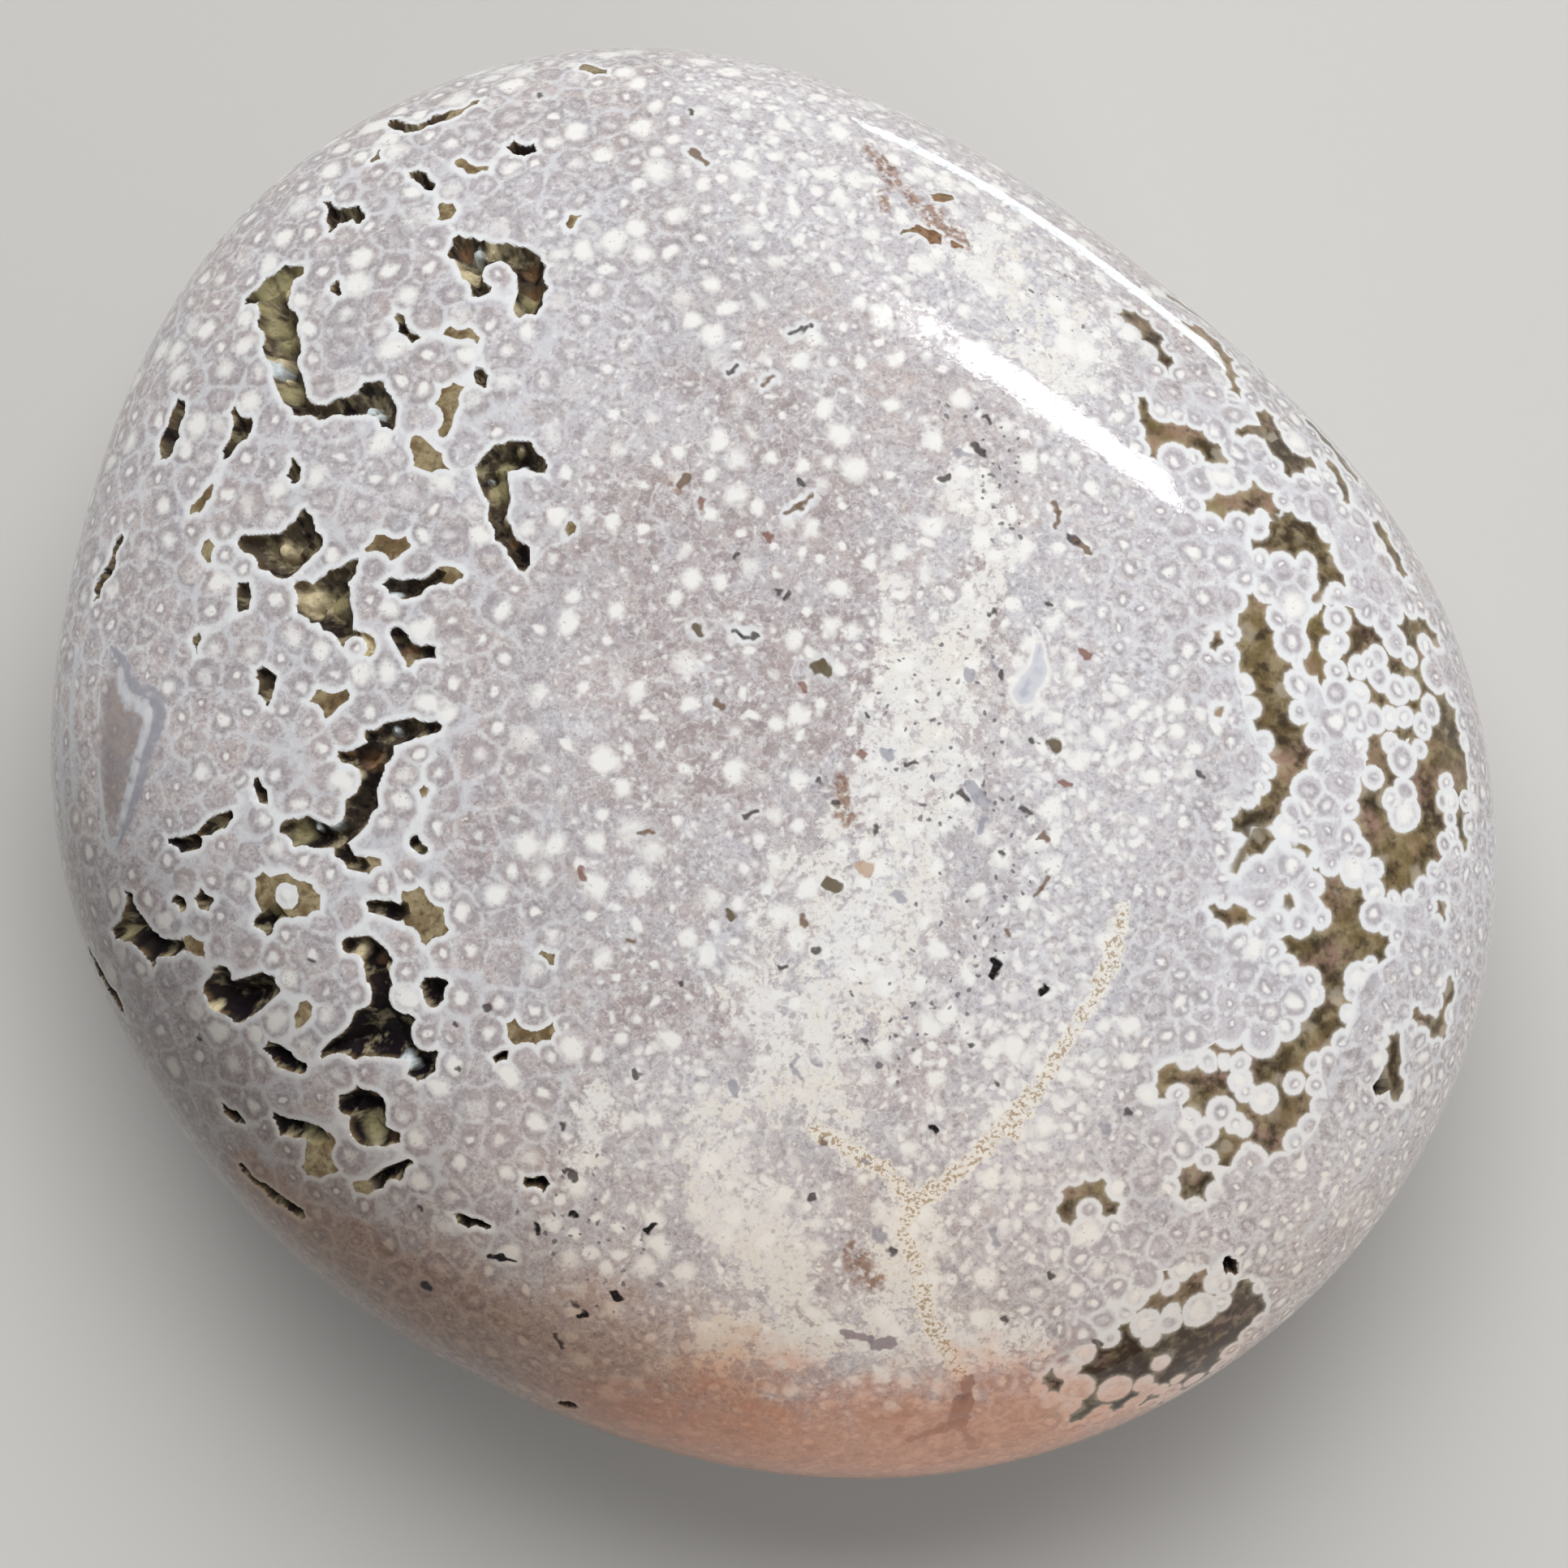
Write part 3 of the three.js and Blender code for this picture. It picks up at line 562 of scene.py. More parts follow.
def section():
    """The section from crown to foot: length along it, share of the way out, and height."""
    turn = np.linspace(math.pi / 2, -math.pi / 2, 4001)
    share = np.cos(turn).clip(0) ** (2 / SQUARENESS)
    rise = np.abs(np.sin(turn)) ** (2 / SQUARENESS)
    reach = np.where(turn > 0, THICKNESS - GIRDLE_HEIGHT, -BELLY_DEPTH)
    height = GIRDLE_HEIGHT + reach * rise
    height = (height + np.sqrt(height**2 + FLAT_RIM**2)) / 2
    step = np.hypot(np.diff(share * MEAN_RADIUS), np.diff(height))
    return np.concatenate([[0], np.cumsum(step)]), share, height


SECTION_LENGTH, SECTION_SHARE, SECTION_HEIGHT = section()
GIRDLE_LENGTH = np.interp(-GIRDLE_HEIGHT, -SECTION_HEIGHT, SECTION_LENGTH)


def read_points(mesh):
    """Every vertex of a mesh as a row of x, y, z."""
    flat = np.empty(len(mesh.vertices) * 3, np.float32)
    mesh.vertices.foreach_get("co", flat)
    return flat.reshape(-1, 3).astype(float)


def read_triangles(mesh):
    """Every triangle of a mesh as a row of three vertex numbers."""
    corners = np.empty(len(mesh.polygons) * 3, np.int32)
    mesh.polygons.foreach_get("vertices", corners)
    return corners.reshape(-1, 3)


def write_points(mesh, points):
    """Moves every vertex of a mesh to its row."""
    mesh.vertices.foreach_set("co", points.astype(np.float32).ravel())
    mesh.update()


def pebble():
    """An even ball of triangles, drawn out to the pebble's outline and section."""
    bpy.ops.object.select_all(action="DESELECT")
    bpy.ops.mesh.primitive_ico_sphere_add(subdivisions=ICO_LEVELS, radius=1, location=(0, 0, 0))
    stone = bpy.context.object
    ball = read_points(stone.data)
    angle = np.arctan2(ball[:, 1], ball[:, 0])
    down = np.arccos(ball[:, 2].clip(-1, 1)) / math.pi
    along = down * SECTION_LENGTH[-1]
    share = np.interp(along, SECTION_LENGTH, SECTION_SHARE)
    radius = share * outline_radius(angle)
    height = np.interp(along, SECTION_LENGTH, SECTION_HEIGHT)
    write_points(
        stone.data,
        np.column_stack([radius * np.cos(angle), radius * np.sin(angle), height]),
    )
    return stone, ball


# ------------------------------------------------------------------ from the picture to the stone
EYE = AIM + CAMERA_DISTANCE * Vector((0, -math.sin(CAMERA_TILT), math.cos(CAMERA_TILT)))
PIXEL = SENSOR / LENS / PICTURE_SIDE  # width of a pixel at unit distance


def ray(x, y):
    """Direction from the camera through a pixel."""
    across = (x - PICTURE_SIDE / 2) * PIXEL
    up = (PICTURE_SIDE / 2 - y) * PIXEL
    sin, cos = math.sin(CAMERA_TILT), math.cos(CAMERA_TILT)
    return Vector((across, up * cos + sin, up * sin - cos)).normalized()


def picture_place(points):
    """Pixels at which points of the stone are seen, or would be through it."""
    away = points - np.array(EYE)
    sin, cos = math.sin(CAMERA_TILT), math.cos(CAMERA_TILT)
    depth = away[:, 1] * sin - away[:, 2] * cos
    up = away[:, 1] * cos + away[:, 2] * sin
    middle = PICTURE_SIDE / 2
    return np.column_stack(
        [middle + away[:, 0] / depth / PIXEL, middle - up / depth / PIXEL]
    )


def on_stone(tree, x, y):
    """Where the ray through a pixel meets the pebble, and how wide a pixel is there.

    A pixel just outside the pebble is moved in by small steps until it meets it.
    """
    step = 0.004
    while True:
        hit, _, _, distance = tree.ray_cast(EYE, ray(x, y))
        if hit:
            return hit, distance * PIXEL
        x += (STONE_MIDDLE[0] - x) * step
        y += (STONE_MIDDLE[1] - y) * step


def from_lines(points, starts, ends):
    """From every point to every straight line: the share along it, and the distance."""
    way = ends - starts
    length = (way**2).sum(1).clip(1e-9)
    off = points[:, None, :] - starts
    t = ((off * way).sum(2) / length).clip(0, 1)
    return t, np.sqrt(((off - t[..., None] * way) ** 2).sum(2))


class Gaps:
    """All the gaps as straight pieces, with the way to measure how far points are from them."""

    KINDS = {"vug": 0, "fill": 1, "window": 2}

    def __init__(self):
        self.rows, self.lines = [], []

    def add(self, line, kind):
        """line: places on the stone with a half width, all in millimetres."""
        self.lines.append((line, kind))
        widest = max(wide for _, wide in line)
        reach = REACH[kind] * widest if widest > 0 else 1.0
        for (a, wide_a), (b, wide_b) in zip(line, line[1:]):
            self.rows.append([*a, *b, wide_a, wide_b, self.KINDS[kind], reach])

    def measure(self, points):
        """Distance to the nearest gap's edge, negative inside it, with its row."""
        rows = np.array(self.rows)
        nearest, which = [], []
        for some in np.array_split(points, max(1, len(points) // 4000)):
            t, gone = from_lines(some, rows[:, 0:3], rows[:, 3:6])
            edge = gone - (rows[:, 6] + t * (rows[:, 7] - rows[:, 6]))
            which.append(edge.argmin(1))
            nearest.append(edge.min(1))
        return np.concatenate(nearest), np.concatenate(which)

    def kind(self, which):
        return np.array(self.rows)[which, 8]

    def reach(self, which):
        return np.array(self.rows)[which, 9]


def picture_gaps(tree):
    """The gaps that are read off the picture, on the stone."""
    gaps = Gaps()
    for kind, lines in (("vug", VUGS), ("fill", FILLS), ("window", WINDOWS)):
        for line in lines:
            placed = []
            for x, y, half_width in line:
                hit, pixel = on_stone(tree, x, y)
                placed.append((tuple(hit), half_width * pixel))
            gaps.add(placed, kind)
    return gaps


def join_gaps(gaps):
    """Thin seams between the ends of near gaps, each end used once."""
    ends = [(line[i][0], n) for n, (line, _) in enumerate(gaps.lines) for i in (0, -1)]
    pairs = []
    for i, (a, line_a) in enumerate(ends):
        for j in range(i):
            b, line_b = ends[j]
            if line_a != line_b and math.dist(a, b) < SEAM_REACH[1]:
                pairs.append((math.dist(a, b), i, j))
    used = set()
    for gone, i, j in sorted(pairs):
        if gone > SEAM_REACH[0] and i not in used and j not in used:
            used |= {i, j}
            gaps.add([(ends[i][0], SEAM), (ends[j][0], SEAM)], "fill")


def hidden_gaps(gaps, points, rng):
    """Gaps of the same sorts where the picture doesn't reach: short crooked lines."""
    under = points[points[:, 2] < HIDDEN_BELOW]
    for _ in range(HIDDEN_GAPS):
        at = under[rng.integers(len(under))]
        right = at[0] > HIDDEN_WINDOWS_FROM
        kind = "window" if right else rng.choice(["fill", "vug", "window"])
        if kind == "vug" and at[2] < HIDDEN_FLAT:
            kind = "fill"
        heading = rng.normal(size=3)
        wide = rng.uniform(*HIDDEN_HALF_WIDTH)
        line = [(tuple(at), wide)]
        for _ in range(rng.integers(1, 4)):
            heading = heading + rng.normal(size=3) * 0.5
            at = at + heading / np.linalg.norm(heading) * rng.uniform(*HIDDEN_STEP)
            at = points[((points - at) ** 2).sum(1).argmin()]
            wide = (wide + rng.uniform(0.1, 0.5)) / 2
            line.append((tuple(at), wide))
        gaps.add(line, kind)


# ------------------------------------------------------------------ growing the orbs
def warp(points):
    """Places bent a little, so that no orb is quite round."""
    bent = [
        sum((far * noise.noise_vector(Vector(p) / length) for far, length in BENDS), Vector())
        for p in points
    ]
    return points + np.array(bent)


def growth_at(points):
    """Spacing, heart share and rim width: nearby values of ORB_GROWTH, the closer the more."""
    seen = picture_place(points)
    anchors = np.array(ORB_GROWTH)
    soft = 30  # pixels, so that no value stands out as a spot
    gone = ((seen[:, None, :] - anchors[:, :2]) ** 2).sum(2) + soft**2
    weight = gone**-1.5
    return (weight @ anchors[:, 2:]) / weight.sum(1)[:, None]


def in_bands(points, bands):
    """How far points are from a zone's middle line, as a share of its half width, up to 12."""
    seen = picture_place(points)
    nearest = np.full(len(points), 12.0)
    for line in bands:
        for (ax, ay, wide_a), (bx, by, wide_b) in zip(line, line[1:]):
            way = np.array((bx - ax, by - ay), float)
            off = seen - (ax, ay)
            t = (off @ way / max(way @ way, 1e-6)).clip(0, 1)
            gone = np.hypot(*(off - t[:, None] * way).T)
            nearest = np.minimum(nearest, gone / (wide_a + t * (wide_b - wide_a)))
    return nearest


def from_outline(points, outline):
    """Distance in pixels from a closed outline, up to 99, negative inside it."""
    seen = picture_place(points)
    gone = np.full(len(points), 99.0)
    inside = np.zeros(len(points), bool)
    for (ax, ay), (bx, by) in zip(outline, outline[1:] + outline[:1]):
        way = np.array((bx - ax, by - ay), float)
        off = seen - (ax, ay)
        t = (off @ way / (way @ way)).clip(0, 1)
        gone = np.minimum(gone, np.hypot(*(off - t[:, None] * way).T))
        across = (ay > seen[:, 1]) != (by > seen[:, 1])
        rise = by - ay if by != ay else 1e-9
        inside ^= across & (seen[:, 0] < (bx - ax) * (seen[:, 1] - ay) / rise + ax)
    return np.where(inside, -gone, gone)


def lumps_at(points, tree):
    """How far points are from the lumps of each colour, as a share of their radius, up to 2."""
    away = {}
    for tint, lumps in LUMPS.items():
        away[tint] = np.full(len(points), 2.0)
        for x, y, radius in lumps:
            hit, pixel = on_stone(tree, x, y)
            gone = np.linalg.norm(points - np.array(hit), axis=1) / (radius * pixel)
            away[tint] = np.minimum(away[tint], gone)
    return away


def looseness_at(points):
    """1 where orbs lie loose in a window, down to 0 outside those patches."""
    seen = picture_place(points)
    loose = np.zeros(len(points))
    for x, y, radius in LOOSE_PATCHES:
        gone = np.hypot(seen[:, 0] - x, seen[:, 1] - y) / radius
        loose = np.maximum(loose, (1.25 - gone).clip(0, 0.5) * 2)
    return loose


def picture_marks(tree):
    """The marks on the stone: starts, ends, sizes and tints, one row each."""
    starts, ends, sizes, tints = [], [], [], []
    for x, y, x_end, y_end, half_width, tint, outline in MARKS:
        start, pixel = on_stone(tree, x, y)
        shade, strength = MARK_TINTS[tint]
        starts.append(tuple(start))
        ends.append(tuple(on_stone(tree, x_end, y_end)[0]))
        sizes.append((half_width * pixel, outline, strength))
        tints.append(colour(*shade)[:3])
    return warp(np.array(starts)), warp(np.array(ends)), np.array(sizes), np.array(tints)


def nearest_marks(places, starts, ends, sizes, keep):
    """Numbers of the marks whose edges are nearest to each place."""
    which = []
    for some in np.array_split(places, 60):
        _, gone = from_lines(some, starts, ends)
        which.append((gone - sizes[:, 0]).argsort(1)[:, :keep])
    return np.concatenate(which)


class Orbs:
    """Centres and sizes, and a coarse grid that finds near ones while they are being placed."""

    CELL = 1.7

    def __init__(self):
        self.centres, self.sizes, self.grid = [], [], {}

    def cell(self, place):
        return tuple(int(math.floor(v / self.CELL)) for v in place)

    def room(self, place, clear):
        a, b, c = self.cell(place)
        for i in (a - 1, a, a + 1):
            for j in (b - 1, b, b + 1):
                for k in (c - 1, c, c + 1):
                    for other, space in self.grid.get((i, j, k), ()):
                        gone = math.dist(place, other)
                        if gone < clear * space:
                            return False
        return True

    def add(self, place, size, space):
        self.centres.append(place)
        self.sizes.append(size)
        self.grid.setdefault(self.cell(place), []).append((place, space))


def random_places(mesh, points, count, rng):
    """Places spread at random over the surface."""
    a, b, c = points[read_triangles(mesh)].swapaxes(0, 1)
    area = np.linalg.norm(np.cross(b - a, c - a), axis=1)
    face = rng.choice(len(area), count, p=area / area.sum())
    u, v = rng.random(count), rng.random(count)
    flip = u + v > 1
    u[flip], v[flip] = 1 - u[flip], 1 - v[flip]
    return a[face] + u[:, None] * (b[face] - a[face]) + v[:, None] * (c[face] - a[face])


def grow_orbs(mesh, points, gaps, tree, rng):
    """Orbs over the whole stone: lone ones, a row along every gap, then all the rest."""
    orbs = Orbs()
    for i, (x, y, radius) in enumerate(LONE_ORBS):
        hit, pixel = on_stone(tree, x, y)
        radius = radius * pixel
        # every second one is white throughout, and all those low on the right
        heart = 0.6 if i % 2 or y > LOW_ORBS else 0.22
        orbs.add(tuple(hit), (radius, heart * radius, 0.9), 1.4 * radius)

    places = random_places(mesh, points, PLACES_TRIED, rng)
    gap, which = gaps.measure(places)
    into = np.where(gaps.kind(which) == Gaps.KINDS["window"], INTO_WINDOW, INTO_GAP)
    space, heart_share, _ = growth_at(places).T
    loose = looseness_at(places)
    chance = rng.random((len(places), 4))
    rows = (("first", *FIRST_ROW, CLEAR_FIRST), ("rest", FIRST_ROW[1], math.inf, CLEAR_REST))
    for row, near, far, clear in rows:
        for i in np.flatnonzero((gap > near * space) & (gap < far * space)):
            if not orbs.room(tuple(places[i]), clear):
                continue
            # the heart's size and brightness differ from orb to orb
            heart = space[i] * heart_share[i] * (0.5 + chance[i, 0] ** 2)
            bright = min(1.0, 0.15 + 1.25 * chance[i, 1])
            if loose[i] > chance[i, 3]:
                radius = space[i] * (0.40 + 0.30 * chance[i, 2])
                radius = min(radius, gap[i] + into[i])
                heart = radius * (0.2 + 0.12 * chance[i, 0])
            elif row == "first":
                radius = min(gap[i] + into[i], 0.75 * space[i])
            else:
                radius = min(space[i] * (0.68 + 0.18 * chance[i, 2]), gap[i])
            orbs.add(tuple(places[i]), (radius, heart, bright), space[i])
    return np.array(orbs.centres), np.array(orbs.sizes)


class OrbField:
    """The nearest orbs of any place, in bent places."""

    def __init__(self, centres, sizes):
        self.centres, self.sizes = warp(centres), sizes
        self.tree = kdtree.KDTree(len(centres))
        for i, centre in enumerate(self.centres):
            self.tree.insert(centre, i)
        self.tree.balance()

    def nearest(self, bent, count, keep):
        """The orbs whose edges are nearest: their numbers and the distances to the edges."""
        found = [[(i, gone) for _, i, gone in self.tree.find_n(p, count)] for p in bent]
        found = np.array(found)
        which = found[..., 0].astype(int)
        edge = found[..., 1] - self.sizes[which, 0]
        order = edge.argsort(1)[:, :keep]
        return np.take_along_axis(which, order, 1), np.take_along_axis(edge, order, 1)


# ------------------------------------------------------------------ the stone's mesh
def ground_at(points, gaps):
    """How far outside the solid ground a place is: the ground fills in away from the gaps."""
    gap, which = gaps.measure(points)
    space, _, rim = growth_at(points).T
    loose = looseness_at(points)
    kind = gaps.kind(which)
    reach = np.minimum(FILL_IN[kind.astype(int)] * space, gaps.reach(which))
    return reach - gap + 4 * loose, gap, kind, rim


def refine(stone, wanted):
    """Halves the chosen edges, and makes triangles of what that leaves."""
    mesh = stone.data
    bpy.context.tool_settings.mesh_select_mode = (False, True, False)
    mesh.vertices.foreach_set("select", np.zeros(len(mesh.vertices), bool))
    mesh.polygons.foreach_set("select", np.zeros(len(mesh.polygons), bool))
    mesh.edges.foreach_set("select", wanted)
    bpy.ops.object.mode_set(mode="EDIT")
    bpy.ops.mesh.subdivide(number_cuts=1)
    bpy.ops.mesh.select_all(action="SELECT")
    bpy.ops.mesh.quads_convert_to_tris(quad_method="BEAUTY", ngon_method="BEAUTY")
    bpy.ops.object.mode_set(mode="OBJECT")


def edge_ends(mesh):
    """Every edge of a mesh as a row of two vertex numbers."""
    ends = np.empty(len(mesh.edges) * 2, np.int32)
    mesh.edges.foreach_get("vertices", ends)
    return ends.reshape(-1, 2)


def put(mesh, name, kind, domain, values):
    """Keeps values on the mesh as an attribute, for the material."""
    attribute = mesh.attributes.new(name, kind, domain)
    key = "vector" if kind == "FLOAT_VECTOR" else "value"
    attribute.data.foreach_set(key, np.ascontiguousarray(values, np.float32).ravel())


def smooth(low, high, value):
    """From 0 at low to 1 at high, with soft ends."""
    t = ((value - low) / (high - low)).clip(0, 1)
    return t * t * (3 - 2 * t)


def bake_map(mesh, ball):
    """A flat map of the whole stone for baking: a disc for the face and one for the underside."""
    angle = np.arctan2(ball[:, 1], ball[:, 0])
    down = np.arctan2(np.hypot(ball[:, 0], ball[:, 1]), ball[:, 2]) / math.pi
    along = down * SECTION_LENGTH[-1]
    share_face = along / GIRDLE_LENGTH
    share_under = (SECTION_LENGTH[-1] - along) / (SECTION_LENGTH[-1] - GIRDLE_LENGTH)
    way = np.column_stack([np.cos(angle), np.sin(angle)])
    middle, radius = FACE_DISC
    face = middle + radius * share_face[:, None] * way
    middle, radius = UNDER_DISC
    under = middle + radius * share_under[:, None] * way * (-1, 1)
    corners = read_triangles(mesh)
    upper = share_face[corners].mean(1) < 1
    places = np.where(upper[:, None, None], face[corners], under[corners])
    layer = mesh.uv_layers.new(name="OFBake")
    layer.data.foreach_set("uv", places.astype(np.float32).ravel())


def grow_stone():
    """The finished mesh: pebble, pattern, vugs, and all that the material reads."""
    rng = np.random.default_rng(SEED)
    noise.seed_set(SEED)  # otherwise its vectors depend on the clock
    stone, ball = pebble()
    mesh = stone.data
    put(mesh, "ball", "FLOAT_VECTOR", "POINT", ball)
    points = read_points(mesh)
    faces = [tuple(p.vertices) for p in mesh.polygons]
    tree = BVHTree.FromPolygons([tuple(p) for p in points], faces)

    gaps = picture_gaps(tree)
    join_gaps(gaps)
    hidden_gaps(gaps, points, rng)
    centres, sizes = grow_orbs(mesh, points, gaps, tree, rng)
    field = OrbField(centres, sizes)

    # finer triangles along the edges of the open vugs
    vug = Gaps.KINDS["vug"]
    for band in FINE_BANDS:
        points = read_points(mesh)
        ground, gap, kind, _ = ground_at(points, gaps)
        _, edge = field.nearest(warp(points), count=9, keep=1)
        void = np.minimum(edge[:, 0], ground)
        near = (void > -band) & (kind == vug) & (gap < FINE_REACH)
        ends = edge_ends(mesh)
        crossed = (void[ends[:, 0]] > 0) != (void[ends[:, 1]] > 0)
        refine(stone, near[ends].all(1) | (crossed & near[ends].any(1)))

    points = read_points(mesh)
    bent = warp(points)
    ground, gap, kind, rim = ground_at(points, gaps)
    _, edge = field.nearest(bent, count=10, keep=1)
    void = np.minimum(edge[:, 0], ground)
    normals = np.empty(len(mesh.vertices) * 3, np.float32)
    mesh.vertices.foreach_get("normal", normals)
    normals = normals.reshape(-1, 3)

    # the open vugs: steep sides, an uneven floor, and lumps that stand up from it
    lumps = lumps_at(points, tree)
    raised = PALE_RISE * smooth(1.1, 0.5, np.minimum(lumps["frost"], lumps["tan"] + 0.1))
    raised = np.maximum(raised, OLIVE_RISE * smooth(1.2, 0.5, lumps["olive"]))
    opened = ((kind == vug) & (gap < CUT_REACH)).astype(float)
    size, amount = FLOOR_BUMPS
    uneven = np.array([noise.noise(Vector(p) / size) for p in bent])
    floor = FLOOR_DEPTH * smooth(*FLOOR_RUN, void) * (1 + amount * uneven) * (1 - raised)
    wall = WALL_DEPTH * smooth(0.0, WALL_RUN, void) * (1 - 0.6 * raised)
    depth = opened * (wall + floor)
    write_points(mesh, points - normals * depth[:, None])

    put(mesh, "rest", "FLOAT_VECTOR", "POINT", bent)
    for name, values in (
        ("ground", ground),
        ("opened", kind == vug),
        ("filled", kind == Gaps.KINDS["fill"]),
        ("rim", rim),
        ("lens", from_outline(points, AGATE_LENS)),
        *lumps.items(),
    ):
        put(mesh, name, "FLOAT", "POINT", values)
    for name, bands in (
        ("cream", CREAM),
        ("mauve", MAUVE),
        ("pale", PALE),
        ("orbed", ORBED),
        ("taupe", TAUPE),
        ("rosy", ROSY),
        ("pepper", PEPPER),
        ("vein", VEINS),
        ("stain", STAINS),
        ("dull", DULL),
        ("slit", AGATE_SLIT),
        ("lens_pale", AGATE_PALE),
        ("lens_grey", AGATE_GREY),
    ):
        put(mesh, name, "FLOAT", "POINT", in_bands(points, bands))

    middles = bent[read_triangles(mesh)].mean(1)
    which, _ = field.nearest(middles, count=13, keep=NEAREST_ORBS)
    for i in range(NEAREST_ORBS):
        put(mesh, f"orb_{i}", "FLOAT_VECTOR", "FACE", field.centres[which[:, i]])
        put(mesh, f"size_{i}", "FLOAT_VECTOR", "FACE", field.sizes[which[:, i]])

    starts, ends, mark_sizes, tints = picture_marks(tree)
    which = nearest_marks(middles, starts, ends, mark_sizes, NEAREST_MARKS)
    marks = {"start": starts, "end": ends + SHORTEST_MARK, "size": mark_sizes, "tint": tints}
    for i in range(NEAREST_MARKS):
        for name, values in marks.items():
            put(mesh, f"mark_{name}_{i}", "FLOAT_VECTOR", "FACE", values[which[:, i]])

    ball = np.empty(len(mesh.vertices) * 3, np.float32)
    mesh.attributes["ball"].data.foreach_get("vector", ball)
    bake_map(mesh, ball.reshape(-1, 3))
    mesh.attributes.remove(mesh.attributes["ball"])
    write_points(mesh, read_points(mesh) * MM)
    return stone


stone = grow_stone()
stone.name = stone.data.name = "jasper_stone"
bpy.ops.object.select_all(action="DESELECT")
stone.select_set(True)
bpy.context.view_layer.objects.active = stone
bpy.ops.object.shade_smooth_by_angle(angle=SMOOTH_BELOW)


# ------------------------------------------------------------------ polished jasper
BODY_COOL = colour(182, 176, 180)
BODY_WARM = colour(194, 182, 180)
BODY_LIGHT = colour(215, 211, 213)
BODY_DEEP = colour(146, 137, 140)
BODY_TAN = colour(202, 186, 172)
BODY_BLUE = colour(206, 209, 218)
MAUVE_BODY = colour(180, 166, 165)
MAUVE_DEEP = colour(158, 143, 142)
PALE_BODY = colour(206, 203, 209)
BETWEEN = colour(211, 212, 217)
CREAM_BODY = colour(240, 236, 227)
CREAM_WHITE = colour(241, 240, 237)
CREAM_SPECK = colour(196, 189, 184)
TAUPE_TINT = colour(244, 222, 206)
PAINTED_WARM_SHADE = colour(255, 247, 239)
ROSY_TINT = colour(255, 211, 190)
ROSY_BODY = colour(226, 170, 142)
ROSY_DEEP = colour(172, 128, 110)
WHITE = colour(243, 242, 238)
RIM_WHITE = colour(234, 235, 236)
HEART_SPECK = colour(158, 150, 146)
PEPPER_GREY = colour(104, 102, 108)
VEIN_TAN = colour(166, 141, 108)
RUST = colour(158, 122, 98)
RUST_DEEP = colour(120, 80, 60)
AGATE_BROWN = colour(160, 149, 142)
AGATE_BLUE = colour(158, 158, 168)
AGATE_WHITE = colour(214, 217, 222)
SLIT_PALE = colour(208, 209, 216)
SLIT_BLUE = colour(180, 182, 194)
PAINTED_SHADE = colour(184, 180, 176)
OLIVE = colour(123, 105, 70)
OLIVE_DARK = colour(58, 47, 34)
PINK_TAN = colour(160, 130, 114)
UMBER = colour(54, 34, 22)
BROWN = colour(112, 92, 64)
FILL_TAN = colour(164, 149, 116)
HALO = colour(198, 186, 166)
VUG_BLACK_AND_SHADOW = colour(25, 18, 24)
VUG_DARK = colour(90, 80, 66)
VUG_WALL = colour(172, 160, 130)
LUMP_OLIVE = colour(158, 149, 112)
LUMP_TAN = colour(212, 197, 160)
LUMP_BROWN = colour(134, 106, 80)
LUMP_FROST_AND_GLINT = colour(210, 219, 221)

POLISH = (0.03, 0.055)  # roughness
DULL_PATCH, VUG_DULLNESS = 0.25, 0.6  # added to it
GLOSS = 1.54  # index of refraction
RELIEF = (0.06, 0.0001)  # strength of the bumps, and their height in metres


